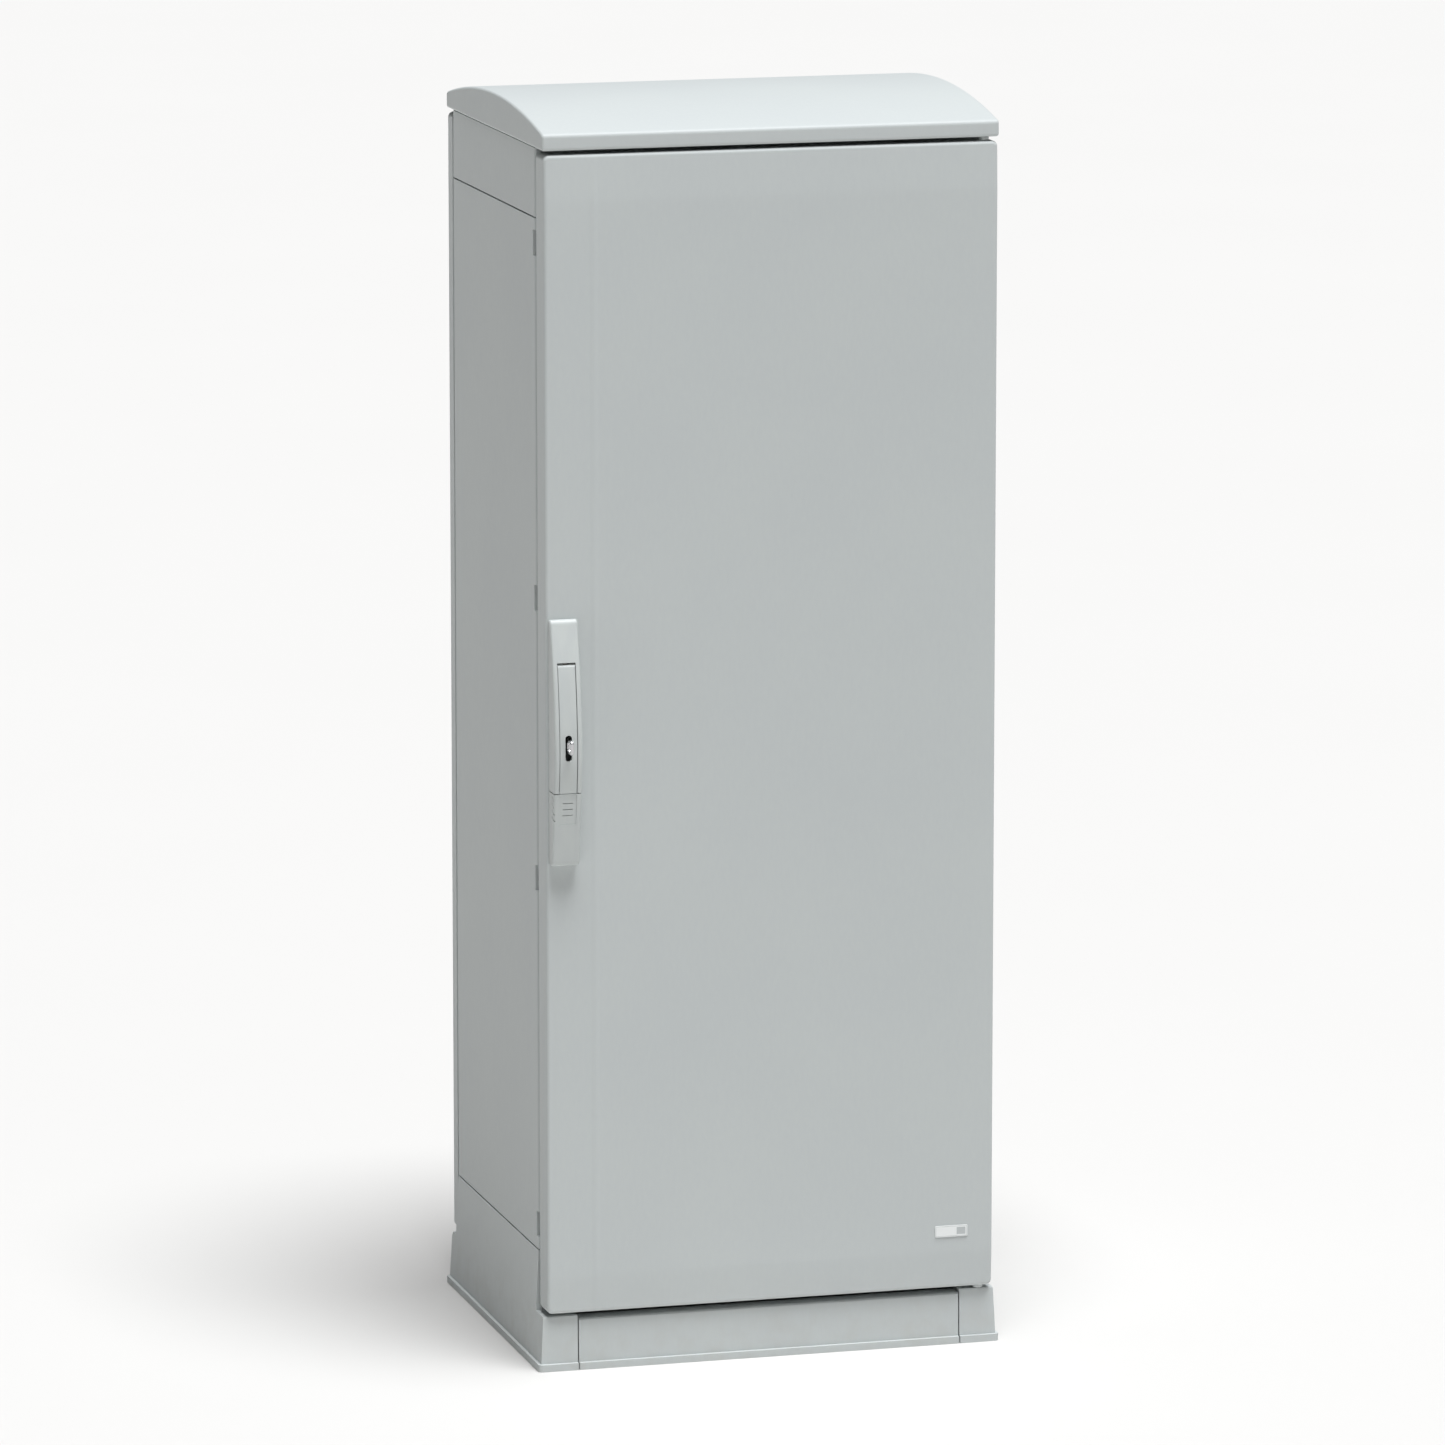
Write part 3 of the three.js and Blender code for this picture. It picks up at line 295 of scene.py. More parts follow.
@dataclass(frozen=True)
class HandlePlastic(Finish):
    """Injection-moulded plastic with a fine spark-eroded texture, polished a little where hands touch it."""

    colour: Colour
    shade: Colour
    roughness: float = 0.4
    gloss: float = 0.45
    grain: float = 0.45 * MM
    depth: float = 0.012 * MM
    flow: Triple = (1.0, 1.0, 0.2)
    streak: float = 9 * MM
    touch: float = 14 * MM

    def paint(self, graph: Surface) -> bpy.types.Material:
        """Paints a fine grain and smoother spots.

        Args:
            graph: the material's graph.

        Returns:
            The material.
        """
        place = graph.place()
        texture = graph.noise(place, self.grain, roughness=0.6)
        streaks = graph.noise(place * self.flow, self.streak).ramp(0.35, 0.65)
        handled = graph.noise(place, self.touch, detail=3).ramp(0.45, 0.75)
        return graph.surface(
            Base_Color=graph.mix(self.colour, self.shade, streaks),
            Roughness=self.roughness + texture * 0.08 - handled * 0.07,
            Specular_IOR_Level=self.gloss,
            Normal=graph.relief(texture, self.depth),
        )


@dataclass(frozen=True)
class PlatedSteel(Finish):
    """Zinc plate with a clear passivation: bluish and yellowish clouds over fine drawing lines."""

    colour: Colour
    warm: Colour
    roughness: float = 0.34
    lines: Triple = (1.0, 1.0, 0.05)
    cloud: float = 16 * MM
    line: float = 0.5 * MM
    spot: float = 5 * MM
    stained: Colour = (0.33, 0.33, 0.32)
    depth: float = 0.01 * MM

    def paint(self, graph: Surface) -> bpy.types.Material:
        """Paints clouds of passivation, stains, and drawing lines along the piece.

        Args:
            graph: the material's graph.

        Returns:
            The material.
        """
        place = graph.place()
        cloud = graph.noise(place, self.cloud, detail=4, roughness=0.6).ramp(0.4, 0.68)
        drawn = graph.noise(place * self.lines, self.line, detail=3, roughness=0.7)
        stain = graph.noise(place, self.spot, detail=5, roughness=0.65).ramp(0.55, 0.8)
        return graph.surface(
            Base_Color=graph.mix(graph.mix(self.colour, self.warm, cloud), self.stained, stain * 0.3),
            Metallic=1.0 - stain * 0.25,
            Roughness=self.roughness + drawn * 0.14 + stain * 0.15,
            Normal=graph.relief(drawn, self.depth),
        )


@dataclass(frozen=True)
class GalvanisedSheet(Finish):
    """Hot-dip galvanised sheet with its spangle."""

    colour: Colour
    dull: Colour
    spangle: float = 11 * MM
    wander: float = 6 * MM
    rolled: Triple = (0.06, 1.0, 1.0)
    line: float = 0.6 * MM
    depth: float = 0.012 * MM

    def paint(self, graph: Surface) -> bpy.types.Material:
        """Paints crystals of different shine, with fine rolling marks.

        Args:
            graph: the material's graph.

        Returns:
            The material.
        """
        place = graph.place()
        astray = graph.noise(place, self.wander, detail=3) * self.wander
        crystal = graph.cells(place + astray, self.spangle, output="Color")
        shine = graph.node("ShaderNodeSeparateColor", inputs={0: crystal})
        marks = graph.noise(place * self.rolled, self.line, detail=3, roughness=0.7)
        return graph.surface(
            Base_Color=graph.mix(self.colour, self.dull, shine * 0.75 + marks * 0.2),
            Metallic=0.92,
            Roughness=0.42 + shine * 0.08 + marks * 0.06,
            Normal=graph.relief(shine * 0.4 + marks * 0.3, self.depth),
        )


@dataclass(frozen=True)
class BrightMetal(Finish):
    """Polished metal, such as chrome plate or brass, with faint wiping marks."""

    colour: Colour
    worn: Colour
    roughness: float = 0.1
    wiping: Triple = (1.0, 0.3, 1.0)
    line: float = 1.2 * MM
    spot: float = 3 * MM
    depth: float = 0.004 * MM

    def paint(self, graph: Surface) -> bpy.types.Material:
        """Paints wiping marks and dull spots.

        Args:
            graph: the material's graph.

        Returns:
            The material.
        """
        place = graph.place()
        wiped = graph.noise(place * self.wiping, self.line, detail=4, roughness=0.65)
        spots = graph.noise(place, self.spot, detail=4).ramp(0.56, 0.8)
        return graph.surface(
            Base_Color=graph.mix(self.colour, self.worn, spots * 0.7),
            Metallic=1.0 - spots * 0.05,
            Roughness=self.roughness + wiped * 0.1 + spots * 0.12,
            Normal=graph.relief(wiped, self.depth),
        )


@dataclass(frozen=True)
class FoamRubber(Finish):
    """Foamed sealing rubber with open pores in its skin."""

    colour: Colour
    dusty: Colour
    pore: float = 0.7 * MM
    spot: float = 9 * MM
    depth: float = 0.05 * MM

    def paint(self, graph: Surface) -> bpy.types.Material:
        """Paints pores and a little dust.

        Args:
            graph: the material's graph.

        Returns:
            The material.
        """
        place = graph.place()
        pores = graph.cells(place, self.pore).ramp(0.05, 0.6)
        dust = graph.noise(place, self.spot, detail=4).ramp(0.42, 0.75)
        return graph.surface(
            Base_Color=graph.mix(self.colour, self.dusty, dust * 0.4 + pores * 0.2),
            Roughness=0.78 + dust * 0.14,
            Normal=graph.relief(pores, self.depth, 0.8),
        )


@dataclass(frozen=True)
class PrintedFoil(Finish):
    """White foil with a plain printed frame and a grey field at its end."""

    centre: Point
    half: Point
    paper: Colour = tone(236, 239, 238)
    ink: Colour = tone(132, 140, 142)
    frame_inner: float = 1.1 * MM
    frame_outer: float = 0.8 * MM
    field_start: float = 6.1 * MM
    field_inset: float = 2.35 * MM
    blur: float = 0.05 * MM
    fleck: float = 0.3 * MM
    depth: float = 0.004 * MM

    def past(self, value: Signal, at: float, blurs: float = 1) -> Signal:
        """Where a distance is larger than some value, with a slightly soft edge."""
        return value.ramp(at - self.blur * blurs, at + self.blur * blurs)

    def paint(self, graph: Surface) -> bpy.types.Material:
        """Paints a thin frame inside the edge and one field.

        Args:
            graph: the material's graph.

        Returns:
            The material.
        """
        place = graph.place()
        x = graph.part_of(place, "X") - self.centre[0]
        z = (graph.part_of(place, "Z") - self.centre[1]).size()
        edge = (self.half[0] - x.size()).least(self.half[1] - z)
        line = self.past(edge, self.frame_outer) * (1 - self.past(edge, self.frame_inner))
        grey = self.past(x, self.field_start, 2) * self.past(edge, self.field_inset)
        fleck = graph.noise(place, self.fleck)
        return graph.surface(
            Base_Color=graph.mix(self.paper, self.ink, (line * 0.8).most(grey * 0.55) + fleck * 0.03),
            Roughness=0.3 + fleck * 0.1,
            Coat_Weight=0.2,
            Normal=graph.relief(fleck, self.depth),
        )


@dataclass(frozen=True)
class PaleFloor(Finish):
    """A plain pale studio floor."""

    colour: Colour = (0.64, 0.632, 0.616)
    shade: Colour = (0.63, 0.622, 0.606)
    cloud: float = 700 * MM

    def paint(self, graph: Surface) -> bpy.types.Material:
        """An even matt surface with a trace of unevenness."""
        cloud = graph.noise(graph.place(), self.cloud)
        return graph.surface(Base_Color=graph.mix(self.colour, self.shade, cloud), Roughness=0.9)


class Finishes:
    """The cabinet's finishes, named after the record's material slots, and that of the small screws."""

    polyester = MouldedPolyester("moulded_polyester", tone(195, 200, 199), tone(192, 197, 197))
    polyester_inner = MouldedPolyester("polyester_inner_side", tone(190, 195, 194), tone(184, 190, 190), 0.56)
    handle_grey = HandlePlastic("handle_plastic", tone(194, 199, 197), tone(191, 196, 195))
    zinc_steel = PlatedSteel("zinc_plate", (0.66, 0.68, 0.71), (0.71, 0.68, 0.6))
    galvanised = GalvanisedSheet("galvanised_sheet", (0.66, 0.67, 0.68), (0.56, 0.57, 0.585))
    chrome = BrightMetal("chrome_plate", (0.55, 0.55, 0.56), (0.4, 0.41, 0.42))
    brass = BrightMetal("brass", (0.72, 0.55, 0.27), (0.42, 0.31, 0.15), roughness=0.26)
    rubber = FoamRubber("foam_rubber", (0.02, 0.021, 0.022), (0.1, 0.1, 0.095))
    screw = PlatedSteel("screw_steel", (0.6, 0.61, 0.63), (0.66, 0.64, 0.58), lines=(1.0, 1.0, 1.0))

    @classmethod
    def of_slot(cls, slot: str) -> Finish:
        """The finish of one of the record's material slots."""
        return getattr(cls, slot)


# ---------------------------------------------------------------- shapes


class Axis(Enum):
    """The axis that a shape is extruded along."""

    X = 0
    Y = 1
    Z = 2

    def point(self, along: float, across: Point) -> Vector:
        """A point from its place along the axis and its two other coordinates, in the order x, y, z."""
        return Vector((*across[: self.value], along, *across[self.value :]))


def spaced(low: float, high: float, margin: float, count: int) -> list[float]:
    """Evenly spaced places between two ends, the outer ones a margin inside them."""
    return [low + margin + (high - low - 2 * margin) * i / (count - 1) for i in range(count)]


def arc(centre: Point, radius: float, start: float, end: float, steps: int) -> list[Point]:
    """Points on an arc between two angles in degrees, both ends included."""
    angles = [math.radians(at) for at in spaced(start, end, 0, steps + 1)]
    return [(centre[0] + radius * math.cos(a), centre[1] + radius * math.sin(a)) for a in angles]


def rounded_rectangle(low: Point, high: Point, radius: float, steps: int = 6) -> list[Point]:
    """A rectangle with round corners, anticlockwise.

    Args:
        low: its lowest corner.
        high: its highest corner.
        radius: of its corners.
        steps: straight pieces in each corner.

    Returns:
        Its points.
    """
    left, bottom = low[0] + radius, low[1] + radius
    right, top = high[0] - radius, high[1] - radius
    corners = [(right, bottom, -90), (right, top, 0), (left, top, 90), (left, bottom, 180)]
    return [point for x, y, start in corners for point in arc((x, y), radius, start, start + 90, steps)]


def ring(box: Sequence[Vector], inset: float, radius: float, y: float, steps: int = 6) -> list[Vector]:
    """Makes a rounded loop at one depth, some way inside a box as it is seen from the front.

    Args:
        box: the box's two corners.
        inset: how far inside the box's sides it runs, and outside them where it is below nought.
        radius: its corners.
        y: its depth.
        steps: points on each corner.

    Returns:
        The loop's points.
    """
    (left, _, bottom), (right, _, top) = box
    outline = rounded_rectangle((left + inset, bottom + inset), (right - inset, top - inset), radius, steps)
    return [Axis.Y.point(y, point) for point in outline]


def circle(centre: Point, radius: float, sides: int = 32) -> list[Point]:
    """A many-sided circle."""
    return arc(centre, radius, 0, 360 - 360 / sides, sides - 1)


def spline(points: Sequence[Point], steps: int) -> list[Point]:
    """A smooth curve through points.

    Args:
        points: what it passes through.
        steps: straight pieces between two of them.

    Returns:
        Its points, the first one included.
    """
    curve = [points[0]]
    last = len(points) - 1
    for i in range(last):
        a, b, c, d = (Vector(points[min(max(k, 0), last)]) for k in (i - 1, i, i + 1, i + 2))
        leave, arrive = (c - a) / 2, (d - b) / 2
        for t in (k / steps for k in range(1, steps + 1)):
            cubic = (2 * b - 2 * c + leave + arrive) * t**3
            curve.append(tuple(cubic + (3 * c - 3 * b - 2 * leave - arrive) * t**2 + leave * t + b))
    return curve


def bend(start: Point, corner: Point, end: Point, steps: int = 5) -> list[Point]:
    """A quadratic bend that rounds off a corner, in straight pieces, without its first point."""
    a, b, c = map(Vector, (start, corner, end))
    return [tuple(a * (1 - t) ** 2 + 2 * b * t * (1 - t) + c * t * t) for t in spaced(0, 1, 0, steps + 1)[1:]]


def corner_of(node: str, end: int) -> Vector:
    """A field with a CAD node's lowest corner, for end 0, or its highest one, for end 1."""
    return field(default_factory=lambda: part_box(node)[end])


def shown(name: str, data: bpy.types.ID) -> bpy.types.Object:
    """Puts a new object into the scene.

    Args:
        name: its name.
        data: its mesh, light or camera.

    Returns:
        The object.
    """
    made = bpy.data.objects.new(name, data)
    bpy.context.scene.collection.objects.link(made)
    return made


def modify(target: bpy.types.Object, name: str, kind: str, **settings: object) -> None:
    """Adds a modifier.

    Args:
        target: the object.
        name: the modifier's name.
        kind: its type.
        settings: its properties.
    """
    added = target.modifiers.new(name, kind)
    for key, value in settings.items():
        setattr(added, key, value)


@dataclass(frozen=True)
class Solid:
    """A closed mesh in the making, in metres, in the cabinet's frame."""

    mesh: bpy.types.Mesh

    @classmethod
    def of(cls, made: bmesh.types.BMesh) -> "Solid":
        """Wraps up a bmesh.

        Args:
            made: the bmesh, which is freed.

        Returns:
            The solid.
        """
        mesh = bpy.data.meshes.new("making")
        made.to_mesh(mesh)
        made.free()
        return cls(mesh)

    @classmethod
    def loft(
        cls,
        loops: Sequence[Sequence[Vector]],
        closed: bool = False,
        shape: Callable[[bmesh.types.BMesh], None] | None = None,
    ) -> "Solid":
        """A skin through loops of equal length, capped at both ends, or joined end to end.

        Args:
            loops: the loops.
            closed: whether the last loop meets the first.
            shape: works on the skin before its faces are turned outwards.

        Returns:
            The solid.
        """
        made = bmesh.new()
        rings = [[made.verts.new(point) for point in loop] for loop in loops]
        bands = list(zip(rings, rings[1:])) + ([(rings[-1], rings[0])] if closed else [])
        for first, second in bands:
            for corners in zip(first, first[1:] + first[:1], second[1:] + second[:1], second):
                made.faces.new(corners)
        if not closed:
            made.faces.new(rings[0])
            made.faces.new(rings[-1])
        if shape:
            shape(made)
        bmesh.ops.recalc_face_normals(made, faces=made.faces)
        return cls.of(made)

    @classmethod
    def prism(cls, axis: Axis, outline: Sequence[Point], low: float, high: float) -> "Solid":
        """An outline, in the two other coordinates, extruded along an axis."""
        return cls.loft([[axis.point(along, point) for point in outline] for along in (low, high)])

    @classmethod
    def block(cls, low: Sequence[float], high: Sequence[float]) -> "Solid":
        """A block between two corners."""
        outline = [(low[0], low[1]), (high[0], low[1]), (high[0], high[1]), (low[0], high[1])]
        return cls.prism(Axis.Z, outline, low[2], high[2])

    def _through(self, *modifiers: tuple[str, dict[str, object]]) -> "Solid":
        """The mesh after some modifiers.

        Args:
            modifiers: their types and settings.

        Returns:
            The new solid.
        """
        holder = shown("making", self.mesh)
        for kind, settings in modifiers:
            modify(holder, kind.lower(), kind, **settings)
        evaluated = holder.evaluated_get(bpy.context.evaluated_depsgraph_get())
        mesh = bpy.data.meshes.new_from_object(evaluated)
        bpy.data.objects.remove(holder)
        return Solid(mesh)

    def _boolean(self, operation: str, others: Iterable["Solid"]) -> "Solid":
        """The solid joined with, cut by or kept inside others.

        Args:
            operation: the Boolean modifier's operation.
            others: the other solids.

        Returns:
            The new solid.
        """
        tools = [shown("tool", other.mesh) for other in others]
        settings = {"operation": operation, "solver": "EXACT"}
        made = self._through(*[("BOOLEAN", {**settings, "object": tool}) for tool in tools])
        for tool in tools:
            bpy.data.objects.remove(tool)
        return made

    def joined(self, *others: "Solid") -> "Solid":
        """This and others as one body."""
        return self._boolean("UNION", others)

    def cut(self, *others: "Solid") -> "Solid":
        """This without others."""
        return self._boolean("DIFFERENCE", others)

    def within(self, other: "Solid") -> "Solid":
        """What this and another share."""
        return self._boolean("INTERSECT", [other])

    def beside(self, *others: "Solid") -> "Solid":
        """This and others in one mesh, without joining their skins.

        Args:
            others: the other solids.

        Returns:
            The new solid.
        """
        made = bmesh.new()
        for each in (self, *others):
            made.from_mesh(each.mesh)
        return Solid.of(made)

    def softened(self, radius: float, segments: int = 3, angle: float = 35, clamp: bool = True) -> "Solid":
        """The solid with its sharp edges rounded.

        Args:
            radius: of the edges.
            segments: of each round edge.
            angle: in degrees, above which an edge counts as sharp.
            clamp: whether a radius shrinks where edges lie close together.

        Returns:
            The new solid.
        """
        settings = {
            "width": radius,
            "segments": segments,
            "limit_method": "ANGLE",
            "angle_limit": math.radians(angle),
            "use_clamp_overlap": clamp,
        }
        return self._through(("BEVEL", settings))

    def moved(self, place: Matrix) -> "Solid":
        """A copy of the solid, moved by a matrix.

        Args:
            place: the matrix.

        Returns:
            The copy.
        """
        mesh = self.mesh.copy()
        mesh.transform(place)
        return Solid(mesh)

    def piece(
        self,
        name: str,
        body: str,
        slot: str,
        *stands_for: str,
        smooth: float = 32,
        finish: Finish | None = None,
    ) -> None:
        """Puts the solid into the scene.

        Args:
            name: the piece's name.
            body: the body that it rides on.
            slot: the record's material slot.
            stands_for: CAD nodes that it replaces.
            smooth: in degrees, the sharpest edge that is shaded as round.
            finish: what it is made of, where that isn't the slot's own finish.
        """
        made = shown(name, self.mesh)
        self.mesh.name = name
        self.mesh.polygons.foreach_set("use_smooth", [True] * len(self.mesh.polygons))
        self.mesh.set_sharp_from_angle(angle=math.radians(smooth))
        self.mesh.materials.clear()
        self.mesh.materials.append((finish or Finishes.of_slot(slot)).material())
        modify(made, "even_faces", "WEIGHTED_NORMAL", keep_sharp=True)
        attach(made, body)
        if stands_for:
            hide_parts(*stands_for)
        LOG.info("%s: %d faces on %s", name, len(self.mesh.polygons), body)


# ---------------------------------------------------------------- fittings


class Drive(Enum):
    """The recess in a screw's head."""

    HEXAGON = "hexagon"
    CROSS = "cross"

    def reach(self, angle: float, size: float) -> float:
        """How far the recess reaches from the middle.

        Args:
            angle: the direction, in radians.
            size: the recess's half width.

        Returns:
            The distance.
        """
        if self is Drive.HEXAGON:
            sector = math.radians(60)
            return size * math.cos(sector / 2) / math.cos(angle % sector - sector / 2)
        return size * (0.34 + 0.66 * abs(math.cos(2 * angle)) ** 3)


@dataclass(frozen=True)
class Screw:
    """A headed screw. Its head and recess are given as shares of the head's radius and height."""

    head: float
    height: float
    shank: float
    length: float
    drive: Drive = Drive.CROSS
    sides: int = 24
    dome: tuple[Point, ...] = ((0.97, 0.0), (1.0, 0.12), (0.96, 0.45), (0.84, 0.78), (0.7, 0.95), (0.6, 1.0))
    recess: tuple[Point, ...] = ((0.5, 1.0), (0.44, 0.35), (0.2, 0.3))

    def loop(self, radius: float, height: float, driven: bool = False) -> list[Vector]:
        """A loop round the screw.

        Args:
            radius: its radius.
            height: above the head's seat.
            driven: whether it has the shape of the drive.

        Returns:
            Its points.
        """
        turn = [2 * math.pi * (i + 0.5) / self.sides for i in range(self.sides)]
        reach = [self.drive.reach(a, radius) if driven else radius for a in turn]
        return [Vector((r * math.cos(a), r * math.sin(a), height)) for r, a in zip(reach, turn)]

    def solid(self, at: Sequence[float], facing: Sequence[float]) -> Solid:
        """The screw with its head seated at a point.

        Args:
            at: where the head's seat is.
            facing: the direction that the head faces.

        Returns:
            The screw.
        """
        loops = [self.loop(self.shank, z) for z in (-self.length, 0.0)]
        loops += [self.loop(self.head * r, self.height * h) for r, h in self.dome]
        loops += [self.loop(self.head * r, self.height * h, driven=True) for r, h in self.recess]
        turned = Vector(facing).normalized().to_track_quat("Z", "Y").to_matrix().to_4x4()
        return Solid.loft(loops).moved(Matrix.Translation(Vector(at)) @ turned)


@dataclass
class Fittings:
    """All the screws that ride on one body, in one piece."""

    name: str
    body: str
    solids: list[Solid] = field(default_factory=list)

    def add(self, screw: Screw, facing: Sequence[float], places: Iterable[Sequence[float]]) -> None:
        """Adds one screw, facing some way, at each place."""
        self.solids.extend(screw.solid(at, facing) for at in places)

    def build(self) -> None:
        """Puts the set into the scene."""
        first, *rest = self.solids
        first.beside(*rest).piece(self.name, self.body, "zinc_steel", finish=Finishes.screw)


# ---------------------------------------------------------------- door


@dataclass
class DoorLeaf:
    """The door's moulding: soft edges, borders that slope back, a bead beside the handle, and ribs inside."""

    wall: float = 4 * MM
    corner: float = 6 * MM
    edge: float = 3.6 * MM
    rim: float = 0.9 * MM
    rim_soft: float = 0.25 * MM
    fillet: float = 3 * MM
    top_border: float = 50 * MM
    bottom_border: float = 40 * MM
    border_fall: float = 1.6 * MM
    crease: Point = (1.2 * MM, 4 * MM)
    bead_from_side: float = 54 * MM
    bead_width: float = 11 * MM
    bead_height: float = 0.6 * MM
    bead_cuts: int = 11
    front_depth: float = 2 * MM
    window: Point = (4.5 * MM, 20.75 * MM)
    window_past: Point = (2 * MM, 1.5 * MM)
    rib: float = 2.4 * MM
    rib_height: float = 4.5 * MM
    rib_root: float = 0.5 * MM
    rib_soft: float = 0.5 * MM
    rib_inset: float = 14.4 * MM
    bays: tuple[int, int] = (3, 8)
    holder: float = 2 * MM
    holder_height: float = 5 * MM
    holder_corner: float = 10 * MM
    holder_grow: Point = (2.3 * MM, -12.3 * MM)
    low: Vector = corner_of("door_shell", 0)
    high: Vector = corner_of("door_shell", 1)

    def loop(self, inset: float, depth: float) -> list[Vector]:
        """The door's outline some way inside its side and behind its front face."""
        return ring((self.low, self.high), inset, max(self.corner - inset, 1 * MM), self.low.y + depth, 8)

    def stations(self) -> list[Point]:
        """Lists the leaf's loops, from the front face round the skirt to the inside.

        Returns:
            The inset and the depth of each loop.
        """
        depth = self.high.y - self.low.y
        wall, rim, soft = self.wall, self.rim, self.rim_soft
        front = arc((self.edge, self.edge), self.edge, 270, 180, 8)
        lip = [(0.0, depth - rim), (soft, depth - soft), (rim, depth)]
        skirt = [(wall - rim, depth), (wall - soft, depth - soft), (wall, depth - rim)]
        foot = [(wall, wall + self.fillet), (wall + rim, wall + rim), (wall + self.fillet, wall)]
        return [*front, *lip, *skirt, *foot]

    def shape_front(self, made: bmesh.types.BMesh) -> None:
        """Cuts the front face along its borders and bead, and moves it there.

        Args:
            made: the door's skin.
        """
        near_front = self.low.y + 1.01 * self.edge
        bead = self.low.x + self.bead_from_side
        half = self.bead_width / 2
        past, within = self.crease
        cuts = [(Axis.Z, self.high.z - self.top_border + d) for d in (-past, 0, within, self.top_border / 2)]
        cuts += [(Axis.Z, self.low.z + self.bottom_border - d) for d in (-past, 0, within)]
        cuts += [(Axis.X, at) for at in spaced(bead - half, bead + half, 0, self.bead_cuts)]
        cuts += [(Axis.X, bead + side * (half + past)) for side in (-1, 1)]
        for axis, at in cuts:
            faces = [face for face in made.faces if all(v.co.y < near_front for v in face.verts)]
            around = {part for face in faces for part in (*face.verts, *face.edges)} | set(faces)
            normal = axis.point(1, (0, 0))
            bmesh.ops.bisect_plane(made, geom=list(around), plane_co=normal * at, plane_no=normal)
        for vertex in made.verts:
            if vertex.co.y < near_front:
                vertex.co.y += self.fall(vertex.co.z)
                share = 1 - min(max((vertex.co.y - self.low.y) / self.front_depth, 0), 1)
                vertex.co.y -= self.rise(vertex.co.x) * share

    def fall(self, z: float) -> float:
        """How far the front slopes back at a height."""
        shares = (z - self.high.z) / self.top_border + 1, (self.low.z - z) / self.bottom_border + 1
        return self.border_fall * sum(max(share, 0) ** 1.05 for share in shares)

    def rise(self, x: float) -> float:
        """How far the bead stands proud at a place across the door."""
        share = min(abs(x - self.low.x - self.bead_from_side) / (self.bead_width / 2), 1)
        return self.bead_height * (0.5 + 0.5 * math.cos(math.pi * share))

    def ribs(self) -> list[Solid]:
        """Makes the ribs on the inside.

        Returns:
            The two ribs that hold the gasket, and the stiffening ribs inside it.
        """
        (x0, _, z0), (x1, _, z1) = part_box("door_gasket")
        wide, tall = (x0 + self.rib_inset, x1 - self.rib_inset), (z0 + self.rib_inset, z1 - self.rib_inset)
        columns, rows = self.bays
        made = [self.holding_rib(grow) for grow in self.holder_grow]
        made += [self.straight_rib(Axis.Z, x, *tall) for x in spaced(*wide, 0, columns + 1)[1:-1]]
        return made + [self.straight_rib(Axis.X, z, *wide) for z in spaced(*tall, 0, rows + 1)[1:-1]]

    def straight_rib(self, axis: Axis, across: float, start: float, end: float) -> Solid:
        """One straight rib with drafted sides.

        Args:
            axis: the axis that it runs along, X or Z.
            across: where its middle line is on the other axis.
            start: where it starts.
            end: where it ends.

        Returns:
            The rib.
        """
        root = self.low.y + self.wall - self.rib_root
        top = self.low.y + self.wall + self.rib_height
        wide, narrow = self.rib / 2, self.rib * 0.35
        sides = [(-wide, root), (wide, root), (narrow, top), (-narrow, top)]
        points = [(y, across + side) if axis is Axis.X else (across + side, y) for side, y in sides]
        return Solid.prism(axis, points, start, end).softened(self.rib_soft, 2)

    def holding_rib(self, grow: float) -> Solid:
        """One of the two ribs beside the gasket.

        Args:
            grow: how far outside the gasket the rib's outer side lies.

        Returns:
            The rib.
        """
        root = self.low.y + self.wall - self.rib_root
        top = self.low.y + self.wall + self.holder_height
        soft, thick = self.rib_soft, self.holder
        outer, inner = [(0, root), (0, top - soft), (-soft, top)], [(-thick, top - soft), (-thick, root)]
        section = [(grow + more, y) for more, y in (*outer, (soft - thick, top), *inner)]
        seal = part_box("door_gasket")
        loops = [ring(seal, -a, max(self.holder_corner + a, 2 * MM), y) for a, y in section]
        return Solid.loft(loops, closed=True)

    def lock_window(self) -> Solid:
        """Makes the opening behind the lever.

        Returns:
            The window that the lever's toothed sector reaches through.
        """
        x, _, z = sum(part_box("lever_pin"), Vector()) / 2
        side, reach = self.window
        before, behind = self.window_past
        front, back = self.low.y - before, self.low.y + self.wall + behind
        return Solid.block((x - side, front, z - reach), (x + side, back, z + reach))

    def build(self) -> None:
        """Makes the door's moulding."""
        skin = Solid.loft([self.loop(*station) for station in self.stations()], shape=self.shape_front)
        shell = skin.cut(self.lock_window()).beside(*self.ribs())
        shell.piece("door_moulding", "door", "polyester", "door_shell")


